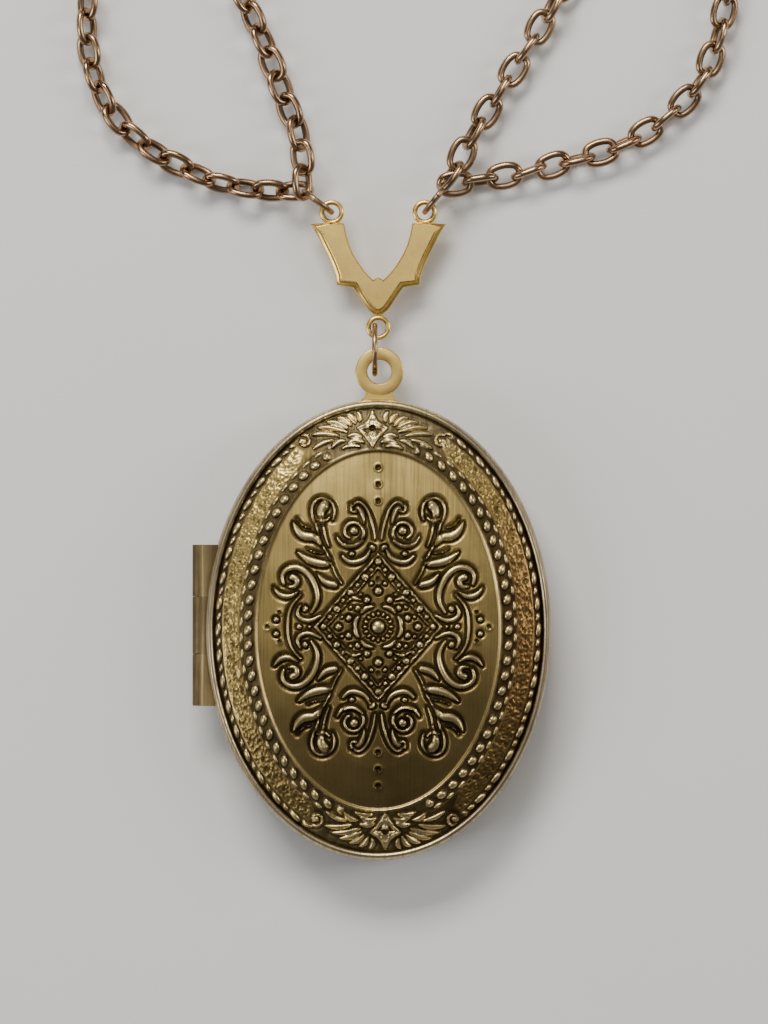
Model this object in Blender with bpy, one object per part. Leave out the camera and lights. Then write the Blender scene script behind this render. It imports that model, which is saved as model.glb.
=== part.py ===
"""An oval photo locket on a double-strand necklace, laid out flat on its back.

X runs across the locket, Y along it towards the clasp and Z up, in metres. The origin is the
centre of the flat field of the locket's back, which rests on the table.
"""

import math

import bmesh
import bpy
import numpy as np
from mathutils import Matrix, Vector

MM = 0.001

# Locket: an oval that opens like a book about a hinge on its left side.
LOCKET_HALF_WIDTH = 15.0 * MM
LOCKET_HALF_HEIGHT = 20.0 * MM
PARTING_Z = 3.75 * MM
PARTING_GAP = 0.3 * MM
WALL = 0.5 * MM
OVAL_SEGMENTS = 48

# Hinge on the locket's left side, its axis along Y.
HINGE_X = -15.5 * MM
HINGE_Y_LOW = -6.6 * MM
HINGE_Y_HIGH = 7.4 * MM
KNUCKLE_RADIUS = 0.65 * MM
KNUCKLE_CLEARANCE = 0.25 * MM
KNUCKLE_BORE_RADIUS = 0.42 * MM
HINGE_PIN_RADIUS = 0.30 * MM
KNUCKLE_SPLITS = (-2.1 * MM, 2.9 * MM)
KNUCKLE_END_GAP = 0.15 * MM

# Bail, rings and the V-shaped connector.
BAIL_CENTRE = Vector((0.1 * MM, 22.45 * MM, 2.7 * MM))
BAIL_OUTER_RADIUS = 2.1 * MM
BAIL_HOLE_RADIUS = 1.05 * MM
BAIL_HALF_THICKNESS = 0.35 * MM
CONNECTOR_Z = 2.2 * MM
CONNECTOR_HALF_THICKNESS = 0.55 * MM
LOOP_OUTER_RADIUS = 1.1 * MM
LOOP_HOLE_RADIUS = 0.64 * MM
LOOP_HALF_THICKNESS = 0.25 * MM
TOP_LOOP_X = 4.05 * MM
TOP_LOOP_Y = 36.35 * MM
BOTTOM_LOOP_Y = 26.3 * MM
RING_WIRE_RADIUS = 0.25 * MM
PENDANT_RING_RADIUS = 2.1 * MM
PENDANT_RING_X = -0.3 * MM
SIDE_RING_RADIUS = 1.5 * MM

# Clasp, in its own frame: its claw opens towards +X and its origin is between hub and claw.
CLASP_PLACE = Vector((2.4 * MM, 64.5 * MM, 2.1 * MM))
CLASP_HALF_THICKNESS = 0.95 * MM
CLAW_CENTRE_X = 2.8 * MM
CLAW_OUTER_RADIUS = 3.1 * MM
CLAW_INNER_RADIUS = 1.7 * MM
MOUTH_FROM = math.radians(35)
MOUTH_TO = math.radians(140)
HUB_RADIUS = 2.0 * MM
HUB_X = -1.0 * MM
SLOT_LOW = Vector((-2.75 * MM, 0, -0.6 * MM))
SLOT_HIGH = Vector((2.4 * MM, 3.0 * MM, 0.6 * MM))
TIP_ROOM_FROM = math.radians(-6)
TIP_ROOM_TO = math.radians(30)
TIP_ROOM_INNER_RADIUS = 4.3 * MM
TIP_ROOM_OUTER_RADIUS = 5.15 * MM
PIVOT = Vector((-0.7 * MM, 0.85 * MM, 0))
RIVET_RADIUS = 0.3 * MM
RIVET_HOLE_RADIUS = 0.42 * MM
LEVER_HALF_THICKNESS = 0.3 * MM
LEVER_Z = -0.22 * MM
TAIL_X = -3.6 * MM
TAIL_OUTER_RADIUS = 1.4 * MM
TAIL_HOLE_RADIUS = 0.8 * MM
TAIL_HALF_THICKNESS = 0.6 * MM
SPRING_RADIUS = 0.58 * MM
SPRING_WIRE_RADIUS = 0.05 * MM
END_RING_WIRE_RADIUS = 0.3 * MM
END_RING_LEFT_RADIUS = 1.7 * MM
END_RING_RIGHT_RADIUS = 2.6 * MM
END_RING_RIGHT_OFFSET = Vector((5.34 * MM, 0, 0.9 * MM))

# Chain strands. Each route runs from a side ring of the connector to an end ring by the clasp.
CHAIN_RADIUS = 1.3 * MM
CHAIN_Z = 1.33 * MM
CHAIN_POINTS = 64
LEFT_OUTER_ROUTE = (
    (-8.2, 37.6), (-12.9, 38.7), (-16.4, 40.0), (-19.3, 41.5), (-21.9, 43.6), (-23.9, 46.2),
    (-25.0, 49.2), (-25.4, 52.2), (-25.3, 55.3), (-25.1, 62.0), (-25.5, 72.0), (-25.2, 84.0),
    (-25.5, 96.0), (-25.2, 108.0), (-25.5, 120.0), (-25.4, 126.0), (-25.2, 133.0),
    (-22.9, 138.5), (-17.0, 141.0), (-11.1, 138.5), (-8.7, 132.6), (-8.8, 123.0),
    (-8.5, 114.0), (-8.8, 102.0), (-8.5, 90.0), (-8.8, 80.0), (-8.6, 72.0), (-6.6, 66.2),
)
LEFT_INNER_ROUTE = (
    (-5.7, 39.9), (-6.8, 42.6), (-8.1, 46.1), (-9.6, 50.3), (-11.4, 54.4), (-14.0, 59.5),
    (-17.4, 65.0), (-20.4, 71.0), (-21.9, 77.5), (-22.2, 86.0), (-21.9, 97.0), (-22.2, 109.0),
    (-22.0, 120.0), (-22.2, 126.0), (-22.1, 132.4), (-20.6, 136.1), (-17.0, 137.7),
    (-13.4, 136.1), (-11.9, 132.4), (-12.0, 123.0), (-11.7, 114.0), (-12.0, 102.0),
    (-11.7, 90.0), (-12.0, 80.0), (-11.8, 71.0), (-10.2, 65.6), (-6.3, 63.3),
)
RIGHT_INNER_ROUTE = (
    (6.4, 40.7), (8.9, 44.2), (10.7, 47.0), (12.4, 49.7), (14.2, 52.7), (16.0, 55.7),
    (18.9, 60.3), (22.5, 65.9), (25.6, 71.6), (27.1, 78.0), (27.4, 86.0), (27.1, 97.0),
    (27.4, 109.0), (27.2, 120.0), (27.4, 126.0), (27.3, 132.4), (25.8, 136.1), (22.2, 137.7),
    (18.6, 136.1), (17.1, 132.4), (17.2, 123.0), (16.9, 114.0), (17.2, 102.0), (16.9, 90.0),
    (17.2, 80.0), (17.0, 71.0), (15.4, 65.6), (11.5, 63.3),
)
RIGHT_OUTER_ROUTE = (
    (8.4, 38.8), (12.4, 39.8), (15.9, 40.6), (19.5, 41.6), (22.9, 43.1), (25.7, 45.1),
    (27.8, 47.4), (29.1, 50.0), (29.9, 52.7), (30.4, 55.5), (30.6, 62.0), (30.4, 72.0),
    (30.6, 84.0), (30.4, 96.0), (30.6, 108.0), (30.4, 120.0), (30.6, 126.0), (30.4, 133.0),
    (28.1, 138.5), (22.2, 141.0), (16.3, 138.5), (13.9, 132.6), (14.0, 123.0), (13.7, 114.0),
    (14.0, 102.0), (13.7, 90.0), (14.0, 80.0), (13.8, 72.0), (11.8, 66.2),
)

ANTIQUE_BRASS = ("antique_brass", (0.31, 0.23, 0.11), 1.0, 0.42)
BRIGHT_BRASS = ("bright_brass", (0.72, 0.56, 0.24), 1.0, 0.30)
CHAIN_BRASS = ("chain_brass", (0.36, 0.24, 0.14), 1.0, 0.38)
SPRING_STEEL = ("spring_steel", (0.55, 0.55, 0.55), 1.0, 0.30)
CLEAR_FILM = ("clear_film", (0.92, 0.93, 0.92), 0.0, 0.08)
BLANK_CARD = ("blank_card", (0.83, 0.79, 0.70), 0.0, 0.75)


def clear_scene():
    for old in list(bpy.data.objects):
        bpy.data.objects.remove(old, do_unlink=True)


def add_material(piece, look):
    """Gives the piece a Principled material of its own."""
    label, colour, metallic, roughness = look
    material = bpy.data.materials.new(f"{label}_{piece.name}")
    material.use_nodes = True
    shader = material.node_tree.nodes["Principled BSDF"]
    shader.inputs["Base Color"].default_value = (*colour, 1)
    shader.inputs["Metallic"].default_value = metallic
    shader.inputs["Roughness"].default_value = roughness
    piece.data.materials.append(material)


def make_piece(name, mesh_builder, look, place=Vector((0, 0, 0))):
    """Turns a bmesh into a named object with a material, round surfaces shaded smooth."""
    bmesh.ops.recalc_face_normals(mesh_builder, faces=mesh_builder.faces)
    mesh = bpy.data.meshes.new(name)
    mesh_builder.to_mesh(mesh)
    mesh_builder.free()
    mesh.shade_smooth()
    mesh.set_sharp_from_angle(angle=math.radians(35))
    piece = bpy.data.objects.new(name, mesh)
    piece.location = place
    bpy.context.scene.collection.objects.link(piece)
    add_material(piece, look)
    return piece


def combine(piece, tool_builders, operation):
    """Adds or cuts shapes with Boolean modifiers. The tools stay as hidden guides."""
    for number, builder in enumerate(tool_builders):
        tool = make_piece(f"{piece.name}_{operation.lower()}_{number}", builder, BLANK_CARD)
        tool.location = piece.location
        tool.hide_render = True
        tool.display_type = "WIRE"
        modifier = piece.modifiers.new(f"{operation.title()} {number}", "BOOLEAN")
        modifier.operation = operation
        modifier.object = tool
        modifier.solver = "EXACT"


def oval_loop(builder, inset, z):
    """A closed loop of vertices on the locket's outline, moved inwards by inset."""
    loop = []
    for step in range(OVAL_SEGMENTS):
        turn = 2 * math.pi * step / OVAL_SEGMENTS
        x = (LOCKET_HALF_WIDTH - inset) * math.cos(turn)
        y = (LOCKET_HALF_HEIGHT - inset) * math.sin(turn)
        loop.append(builder.verts.new((x, y, z)))
    return loop


def join_loops(builder, first, second):
    count = len(first)
    for step in range(count):
        after = (step + 1) % count
        builder.faces.new((first[step], first[after], second[after], second[step]))


def oval_solid(stations, ring=False):
    """Bridges oval loops at (inset, z) stations: a capped solid, or a ring if its section closes."""
    builder = bmesh.new()
    loops = [oval_loop(builder, inset, z) for inset, z in stations]
    for first, second in zip(loops, loops[1:]):
        join_loops(builder, first, second)
    if ring:
        join_loops(builder, loops[-1], loops[0])
    else:
        builder.faces.new(loops[0])
        builder.faces.new(loops[-1])
    return builder


def turned_ring(centre, inner_radius, outer_radius, half_thickness, segments, bevel=0.0):
    """A washer about a line parallel to Z, with its outer edges bevelled."""
    builder = bmesh.new()
    section = [
        (inner_radius, -half_thickness),
        (outer_radius - bevel, -half_thickness),
        (outer_radius, -half_thickness + bevel),
        (outer_radius, half_thickness - bevel),
        (outer_radius - bevel, half_thickness),
        (inner_radius, half_thickness),
    ]
    if not bevel:
        section = [section[0], section[1], section[4], section[5]]
    corners = [builder.verts.new((radius, 0, z)) for radius, z in section]
    edges = [
        builder.edges.new((corners[step - 1], corners[step])) for step in range(len(corners))
    ]
    bmesh.ops.spin(
        builder,
        geom=corners + edges,
        cent=(0, 0, 0),
        axis=(0, 0, 1),
        angle=2 * math.pi,
        steps=segments,
        use_merge=True,
    )
    bmesh.ops.remove_doubles(builder, verts=builder.verts, dist=0.00001)
    bmesh.ops.translate(builder, verts=builder.verts, vec=centre)
    return builder


def wire_ring(name, look, centre, ring_radius, wire_radius, heading, segments=20, sides=6):
    """A round jump ring that stands upright, its plane along the heading in the table's plane."""
    builder = bmesh.new()
    across = Vector((-heading.y, heading.x, 0))
    loops = []
    for step in range(segments):
        turn = 2 * math.pi * step / segments
        outward = heading * math.cos(turn) + Vector((0, 0, 1)) * math.sin(turn)
        loop = []
        for side in range(sides):
            around = 2 * math.pi * side / sides
            offset = outward * math.cos(around) + across * math.sin(around)
            loop.append(builder.verts.new(outward * ring_radius + offset * wire_radius))
        loops.append(loop)
    for step in range(segments):
        join_loops(builder, loops[step], loops[(step + 1) % segments])
    return make_piece(name, builder, look, centre)


def cylinder(start, end, radius, segments=16):
    """A closed cylinder between two points."""
    builder = bmesh.new()
    line = end - start
    turn = line.to_track_quat("Z", "Y").to_matrix().to_4x4()
    middle = Matrix.Translation((start + end) / 2) @ turn
    bmesh.ops.create_cone(
        builder,
        cap_ends=True,
        segments=segments,
        radius1=radius,
        radius2=radius,
        depth=line.length,
        matrix=middle,
    )
    return builder


def plate(outline, z_low, z_high, bevel=0.0):
    """An outline in the table's plane extruded upwards, with its upper edge bevelled."""
    builder = bmesh.new()
    face = builder.faces.new([builder.verts.new((x, y, z_low)) for x, y in outline])
    raised = bmesh.ops.extrude_face_region(builder, geom=[face])["geom"]
    top = [item for item in raised if isinstance(item, bmesh.types.BMVert)]
    bmesh.ops.translate(builder, verts=top, vec=(0, 0, z_high - z_low))
    if bevel:
        rim = [
            item
            for item in builder.edges
            if all(corner.co.z > z_high - 1e-6 for corner in item.verts)
        ]
        bmesh.ops.bevel(
            builder, geom=rim, offset=bevel, segments=1, profile=0.5, affect="EDGES"
        )
    return builder


def make_covers():
    """Two stamped oval shells: rolled rim, groove, sloping border band and inner field."""
    rim_low = PARTING_Z + PARTING_GAP / 2
    front_outside = (
        (12.0, 7.50), (8.0, 7.20), (4.6, 6.75), (4.2, 6.80), (2.6, 6.25), (1.2, 5.75),
        (0.95, 5.55), (0.75, 5.75), (0.35, 5.75), (0.1, 5.45), (0.0, 5.05),
    )
    front_inside = ((1.0, 5.35), (4.2, 6.25), (8.0, 6.70), (12.0, 7.00))
    stations = [(inset * MM, z * MM) for inset, z in front_outside]
    stations += [(0.0, rim_low), (WALL, rim_low), (WALL, 5.15 * MM)]
    stations += [(inset * MM, z * MM) for inset, z in front_inside]
    front = make_piece("front_cover", oval_solid(stations), ANTIQUE_BRASS)

    rim_high = PARTING_Z - PARTING_GAP / 2
    back_outside = (
        (5.6, 0.0), (4.6, 0.20), (2.6, 0.95), (1.2, 1.60), (0.95, 1.80), (0.75, 1.65),
        (0.35, 1.70), (0.1, 2.00), (0.0, 2.40),
    )
    back_inside = ((1.0, 2.15), (4.2, 1.05), (5.8, 0.50))
    stations = [(inset * MM, z * MM) for inset, z in back_outside]
    stations += [(0.0, rim_high), (WALL, rim_high), (WALL, 2.35 * MM)]
    stations += [(inset * MM, z * MM) for inset, z in back_inside]
    back = make_piece("back_cover", oval_solid(stations), ANTIQUE_BRASS)

    clearance_start = Vector((HINGE_X, HINGE_Y_LOW - KNUCKLE_CLEARANCE, PARTING_Z))
    clearance_end = Vector((HINGE_X, HINGE_Y_HIGH + KNUCKLE_CLEARANCE, PARTING_Z))
    for cover in (front, back):
        room = cylinder(clearance_start, clearance_end, KNUCKLE_RADIUS + KNUCKLE_CLEARANCE)
        combine(cover, [room], "DIFFERENCE")


def hinge_leaf(name, side, own_spans, other_spans):
    """Knuckles with the strip that fills the space between the barrel and the oval's side."""
    steps = 10
    gap = 0.2 * MM
    outline = []
    for step in range(steps + 1):
        y = HINGE_Y_LOW + (HINGE_Y_HIGH - HINGE_Y_LOW) * step / steps
        oval_x = (LOCKET_HALF_WIDTH + gap) * math.sqrt(1 - (y / (LOCKET_HALF_HEIGHT + gap)) ** 2)
        outline.append((-oval_x, y))
    outline.append((HINGE_X, HINGE_Y_HIGH))
    outline.append((HINGE_X, HINGE_Y_LOW))
    near = PARTING_Z + side * 0.2 * MM
    far = PARTING_Z + side * 1.35 * MM
    piece = make_piece(name, plate(outline, min(near, far), max(near, far)), ANTIQUE_BRASS)

    def barrel(span, radius, extra=0.0):
        start = Vector((HINGE_X, span[0] - extra, PARTING_Z))
        end = Vector((HINGE_X, span[1] + extra, PARTING_Z))
        return cylinder(start, end, radius)

    clear_radius = KNUCKLE_RADIUS + KNUCKLE_CLEARANCE
    combine(piece, [barrel(span, clear_radius, KNUCKLE_END_GAP) for span in other_spans],
            "DIFFERENCE")
    combine(piece, [barrel(span, KNUCKLE_RADIUS) for span in own_spans], "UNION")
    whole = (HINGE_Y_LOW - 1.0 * MM, HINGE_Y_HIGH + 1.0 * MM)
    combine(piece, [barrel(whole, KNUCKLE_BORE_RADIUS)], "DIFFERENCE")


def make_hinge():
    low_split, high_split = KNUCKLE_SPLITS
    back_spans = [
        (HINGE_Y_LOW, low_split - KNUCKLE_END_GAP),
        (high_split + KNUCKLE_END_GAP, HINGE_Y_HIGH),
    ]
    front_spans = [(low_split, high_split)]
    hinge_leaf("hinge_leaf_back", -1, back_spans, front_spans)
    hinge_leaf("hinge_leaf_front", 1, front_spans, back_spans)
    start = Vector((HINGE_X, HINGE_Y_LOW + 0.1 * MM, PARTING_Z))
    end = Vector((HINGE_X, HINGE_Y_HIGH - 0.1 * MM, PARTING_Z))
    make_piece("hinge_pin", cylinder(start, end, HINGE_PIN_RADIUS, 12), BRIGHT_BRASS)


def make_insides():
    """In each cover a blank card, a clear window over it and a frame that holds both in."""
    frame_section = (
        (1.10, 2.35), (1.10, 3.30), (2.90, 3.30), (2.90, 2.95), (1.45, 2.95), (1.45, 2.35),
    )
    for side_name, turned in (("back", False), ("front", True)):

        def level(z):
            return (2 * PARTING_Z - z * MM) if turned else z * MM

        frame = [(inset * MM, level(z)) for inset, z in frame_section]
        make_piece(f"photo_frame_{side_name}", oval_solid(frame, ring=True), BRIGHT_BRASS)
        window = [(1.75 * MM, level(2.50)), (1.75 * MM, level(2.68))]
        make_piece(f"window_{side_name}", oval_solid(window), CLEAR_FILM)
        card = [(1.75 * MM, level(2.15)), (1.75 * MM, level(2.30))]
        make_piece(f"photo_card_{side_name}", oval_solid(card), BLANK_CARD)


def make_catch():
    """A springy tongue inside the back cover's right side that snaps into the front cover."""
    outline = []
    for inset, order in ((0.68, (-1, 0, 1)), (0.88, (1, 0, -1))):
        for end in order:
            y = end * 2.0 * MM
            across = math.sqrt(1 - (y / (LOCKET_HALF_HEIGHT - inset * MM)) ** 2)
            outline.append(((LOCKET_HALF_WIDTH - inset * MM) * across, y))
    tongue = plate(outline, 2.6 * MM, 4.6 * MM, 0.05 * MM)
    make_piece("catch_tongue", tongue, BRIGHT_BRASS)


def make_bail():
    """A flat eye that stands on a small foot against the back cover's top edge."""
    eye = turned_ring(
        BAIL_CENTRE, BAIL_HOLE_RADIUS, BAIL_OUTER_RADIUS, BAIL_HALF_THICKNESS, 24, 0.12 * MM
    )
    bail = make_piece("bail", eye, BRIGHT_BRASS)
    low = BAIL_CENTRE.z - BAIL_HALF_THICKNESS - 0.1 * MM
    high = BAIL_CENTRE.z + BAIL_HALF_THICKNESS + 0.1 * MM
    outline = []
    for x in (-1.6, -0.8, 0.0, 0.8, 1.6):
        rim = math.sqrt(1 - (x * MM / LOCKET_HALF_WIDTH) ** 2)
        outline.append((x * MM, LOCKET_HALF_HEIGHT * rim + 0.2 * MM))
    outline += [(0.9 * MM, 21.1 * MM), (-0.7 * MM, 21.1 * MM)]
    combine(bail, [plate(outline, low, high)], "UNION")


def make_connector():
    """A flat V with notched shoulders and three small eyes."""
    right_half = (
        (0.0, 27.35), (1.15, 28.2), (2.25, 29.8), (3.65, 30.0), (3.55, 30.8), (4.1, 31.8),
        (5.0, 33.5), (5.9, 35.3), (2.95, 35.4), (2.65, 33.9), (2.0, 32.3), (1.2, 31.15),
        (0.45, 30.4), (0.0, 30.6),
    )
    left_half = [(-x, y) for x, y in right_half[-2:0:-1]]
    outline = [(x * MM, y * MM) for x, y in [*right_half, *left_half]]
    low = CONNECTOR_Z - CONNECTOR_HALF_THICKNESS
    high = CONNECTOR_Z + CONNECTOR_HALF_THICKNESS
    connector = make_piece("v_connector", plate(outline, low, high, 0.25 * MM), BRIGHT_BRASS)
    eyes = [
        turned_ring(
            Vector((x, y, CONNECTOR_Z)),
            LOOP_HOLE_RADIUS,
            LOOP_OUTER_RADIUS,
            LOOP_HALF_THICKNESS,
            16,
        )
        for x, y in ((-TOP_LOOP_X, TOP_LOOP_Y), (TOP_LOOP_X, TOP_LOOP_Y), (0.0, BOTTOM_LOOP_Y))
    ]
    combine(connector, eyes, "UNION")


def make_rings():
    """The upright jump rings that join locket, connector, strands and clasp."""
    lower = Vector((PENDANT_RING_X, BAIL_CENTRE.y - 0.15 * MM, BAIL_CENTRE.z))
    upper = Vector((PENDANT_RING_X, BOTTOM_LOOP_Y, CONNECTOR_Z))
    chord = upper - lower
    rise = math.sqrt(PENDANT_RING_RADIUS**2 - (chord.length / 2) ** 2)
    normal = Vector((0, -chord.z, chord.y)).normalized()
    centre = (lower + upper) / 2 + normal * rise
    wire_ring(
        "pendant_ring", CHAIN_BRASS, centre, PENDANT_RING_RADIUS, RING_WIRE_RADIUS,
        Vector((0, 1, 0)),
    )
    for name, side, heading in (
        ("side_ring_left", -1, Vector((-0.80, 0.60, 0))),
        ("side_ring_right", 1, Vector((0.62, 0.7846, 0))),
    ):
        eye = Vector((side * TOP_LOOP_X, TOP_LOOP_Y, CONNECTOR_Z))
        centre = eye + heading * SIDE_RING_RADIUS
        wire_ring(name, CHAIN_BRASS, centre, SIDE_RING_RADIUS, RING_WIRE_RADIUS, heading)
    along = Vector((1, 0, 0))
    left = CLASP_PLACE + Vector((TAIL_X - END_RING_LEFT_RADIUS, 0, 0))
    wire_ring(
        "end_ring_left", CHAIN_BRASS, left, END_RING_LEFT_RADIUS, END_RING_WIRE_RADIUS, along
    )
    right = CLASP_PLACE + END_RING_RIGHT_OFFSET
    wire_ring(
        "end_ring_right", CHAIN_BRASS, right, END_RING_RIGHT_RADIUS, END_RING_WIRE_RADIUS, along
    )


def arc_plate(centre, from_angle, to_angle, inner, outer, half_thickness, steps):
    """Part of a flat ring about an upright line through the centre."""
    outline = []
    for radius, order in ((outer, range(steps + 1)), (inner, range(steps, -1, -1))):
        for step in order:
            turn = from_angle + (to_angle - from_angle) * step / steps
            x = centre.x + radius * math.cos(turn)
            outline.append((x, centre.y + radius * math.sin(turn)))
    return plate(outline, -half_thickness, half_thickness)


def upright(x, y, radius, half_height, segments=16):
    return cylinder(Vector((x, y, -half_height)), Vector((x, y, half_height)), radius, segments)


def block(low, high):
    """A box between two opposite corners."""
    outline = [(low.x, low.y), (high.x, low.y), (high.x, high.y), (low.x, high.y)]
    return plate(outline, low.z, high.z)


def make_clasp():
    """A lobster clasp: claw and hub in one, a lever on a rivet and the spring that shuts it."""
    claw = arc_plate(
        Vector((CLAW_CENTRE_X, 0, 0)), MOUTH_TO, 2 * math.pi + MOUTH_FROM, CLAW_INNER_RADIUS,
        CLAW_OUTER_RADIUS, CLASP_HALF_THICKNESS, 18,
    )
    body = make_piece("clasp_body", claw, CHAIN_BRASS, CLASP_PLACE)
    hub = upright(HUB_X, 0, HUB_RADIUS, CLASP_HALF_THICKNESS * 0.98)
    tail = turned_ring(
        Vector((TAIL_X, 0, 0)), TAIL_HOLE_RADIUS, TAIL_OUTER_RADIUS, TAIL_HALF_THICKNESS, 16
    )
    combine(body, [hub, tail], "UNION")
    slot = block(SLOT_LOW, SLOT_HIGH)
    rivet_hole = upright(PIVOT.x, PIVOT.y, RIVET_HOLE_RADIUS, 2 * CLASP_HALF_THICKNESS)
    tip_room = arc_plate(
        PIVOT, TIP_ROOM_FROM, TIP_ROOM_TO, TIP_ROOM_INNER_RADIUS, TIP_ROOM_OUTER_RADIUS,
        2 * CLASP_HALF_THICKNESS, 8,
    )
    combine(body, [slot, rivet_hole, tip_room], "DIFFERENCE")

    lever_place = CLASP_PLACE + PIVOT
    finger = (
        (-0.75, 0.3), (-1.75, 1.55), (-2.15, 2.35), (-1.55, 2.55), (-0.4, 1.75), (1.0, 1.95),
        (2.9, 2.05), (4.1, 1.55), (4.95, 0.6), (4.6, 0.15), (3.9, 0.75), (2.8, 1.0),
        (1.2, 0.75), (0.75, 0.0), (0.4, -0.45), (-0.45, -0.45),
    )
    outline = [(x * MM, y * MM) for x, y in finger]
    low = LEVER_Z - LEVER_HALF_THICKNESS
    high = LEVER_Z + LEVER_HALF_THICKNESS
    lever = make_piece("clasp_lever", plate(outline, low, high), CHAIN_BRASS, lever_place)
    combine(lever, [upright(0, 0, RIVET_HOLE_RADIUS, 2 * CLASP_HALF_THICKNESS)], "DIFFERENCE")

    rivet = upright(0, 0, RIVET_RADIUS, CLASP_HALF_THICKNESS, 12)
    make_piece("clasp_rivet", rivet, CHAIN_BRASS, lever_place)
    make_spring(lever_place)


def make_spring(place):
    """A torsion coil round the rivet, between the lever and the upper cheek."""
    turns = 2.0
    steps = 20
    points = []
    for step in range(steps + 1):
        turn = 2 * math.pi * turns * step / steps
        z = (0.20 + 0.26 * step / steps) * MM
        points.append((SPRING_RADIUS * math.cos(turn), SPRING_RADIUS * math.sin(turn), z))
    add_tube("clasp_spring", points, SPRING_WIRE_RADIUS, 1, SPRING_STEEL, place)


def add_tube(name, points, radius, resolution, look, place=Vector((0, 0, 0))):
    """A round bar along the points, closed at both ends."""
    curve = bpy.data.curves.new(name, "CURVE")
    curve.dimensions = "3D"
    curve.bevel_depth = radius
    curve.bevel_resolution = resolution
    curve.use_fill_caps = True
    spline = curve.splines.new("POLY")
    spline.points.add(len(points) - 1)
    for knot, point in zip(spline.points, points):
        knot.co = (*point, 1)
    spline.use_smooth = True
    tube = bpy.data.objects.new(name, curve)
    tube.location = place
    bpy.context.scene.collection.objects.link(tube)
    add_material(tube, look)
    return tube


def smooth_route(route, count):
    """Points at even distances on the natural cubic spline through the route's points."""
    knots = np.array(route)
    at = np.concatenate([[0], np.cumsum(np.linalg.norm(np.diff(knots, axis=0), axis=1))])
    size = len(knots)
    step = np.diff(at)
    matrix = np.eye(size)
    slopes = np.zeros((size, 2))
    for row in range(1, size - 1):
        matrix[row, row - 1] = step[row - 1]
        matrix[row, row] = 2 * (step[row - 1] + step[row])
        matrix[row, row + 1] = step[row]
        rise_after = (knots[row + 1] - knots[row]) / step[row]
        rise_before = (knots[row] - knots[row - 1]) / step[row - 1]
        slopes[row] = 6 * (rise_after - rise_before)
    bend = np.linalg.solve(matrix, slopes)
    fine = np.linspace(0, at[-1], 4000)
    span = np.clip(np.searchsorted(at, fine, side="right") - 1, 0, size - 2)
    width = step[span][:, None]
    back = ((at[span + 1] - fine)[:, None]) / width
    ahead = 1 - back
    line = back * knots[span] + ahead * knots[span + 1]
    line += ((back**3 - back) * bend[span] + (ahead**3 - ahead) * bend[span + 1]) * width**2 / 6
    travelled = np.concatenate([[0], np.cumsum(np.linalg.norm(np.diff(line, axis=0), axis=1))])
    even = np.linspace(0, travelled[-1], count)
    return [(np.interp(s, travelled, line[:, 0]), np.interp(s, travelled, line[:, 1])) for s in even]


def make_chains():
    """Each strand as a plain round bar of the chain's outside width, lying on the table."""
    for name, route in (
        ("chain_left_outer", LEFT_OUTER_ROUTE),
        ("chain_left_inner", LEFT_INNER_ROUTE),
        ("chain_right_inner", RIGHT_INNER_ROUTE),
        ("chain_right_outer", RIGHT_OUTER_ROUTE),
    ):
        flat = smooth_route(route, CHAIN_POINTS)
        points = [(x * MM, y * MM, CHAIN_Z) for x, y in flat]
        add_tube(name, points, CHAIN_RADIUS, 2, CHAIN_BRASS)


def build_necklace():
    clear_scene()
    make_covers()
    make_hinge()
    make_insides()
    make_catch()
    make_bail()
    make_connector()
    make_rings()
    make_clasp()
    make_chains()


build_necklace()
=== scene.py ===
import math

import bmesh
import bpy
import numpy as np
from mathutils import Matrix, Vector
from mathutils.geometry import tessellate_polygon


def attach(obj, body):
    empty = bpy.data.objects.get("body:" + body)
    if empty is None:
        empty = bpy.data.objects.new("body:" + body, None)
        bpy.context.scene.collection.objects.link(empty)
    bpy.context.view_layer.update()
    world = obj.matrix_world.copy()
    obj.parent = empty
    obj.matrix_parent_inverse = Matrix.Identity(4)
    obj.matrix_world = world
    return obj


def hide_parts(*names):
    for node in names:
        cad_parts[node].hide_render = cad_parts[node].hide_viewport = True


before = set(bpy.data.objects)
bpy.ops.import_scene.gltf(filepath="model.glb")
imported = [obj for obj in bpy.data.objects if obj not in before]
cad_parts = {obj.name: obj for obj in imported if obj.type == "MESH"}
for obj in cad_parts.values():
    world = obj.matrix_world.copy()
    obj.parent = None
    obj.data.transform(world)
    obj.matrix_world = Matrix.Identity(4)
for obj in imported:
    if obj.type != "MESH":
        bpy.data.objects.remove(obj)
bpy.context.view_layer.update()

MM = 0.001

# Camera: straight above, framing the locket, the connector and the start of the strands.
FRAME_CENTRE = (0.5, 10.24)
FRAME_HEIGHT = 88.9
CAMERA_HEIGHT = 900.0
CAMERA_SENSOR = 36.0
SUBJECT_LEVEL = 5.0

# Chain links, and the points on the table between the first and last link of each strand.
LINK_LENGTH = 3.4
LINK_WIDTH = 2.45
LINK_WIRE = 0.31
LINK_STEPS = 28
LINK_SIDES = 10
CHAIN_LEVEL = 1.33
OUTER_RETURN = (
    (-25.2, 133.0), (-22.9, 138.5), (-17.0, 141.0), (-11.1, 138.5), (-8.7, 132.6),
    (-8.8, 123.0), (-8.5, 114.0), (-8.8, 102.0), (-8.5, 90.0), (-8.8, 80.0), (-8.6, 72.0),
)
INNER_RETURN = (
    (-22.1, 132.4), (-20.6, 136.1), (-17.0, 137.7), (-13.4, 136.1), (-11.9, 132.4),
    (-12.0, 123.0), (-11.7, 114.0), (-12.0, 102.0), (-11.7, 90.0), (-12.0, 80.0),
    (-11.8, 71.0), (-10.2, 65.6),
)


def mirrored(route):
    """The left side's stretch of a strand, turned over for the right side."""
    return tuple((5.2 - x, y) for x, y in route)


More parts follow.
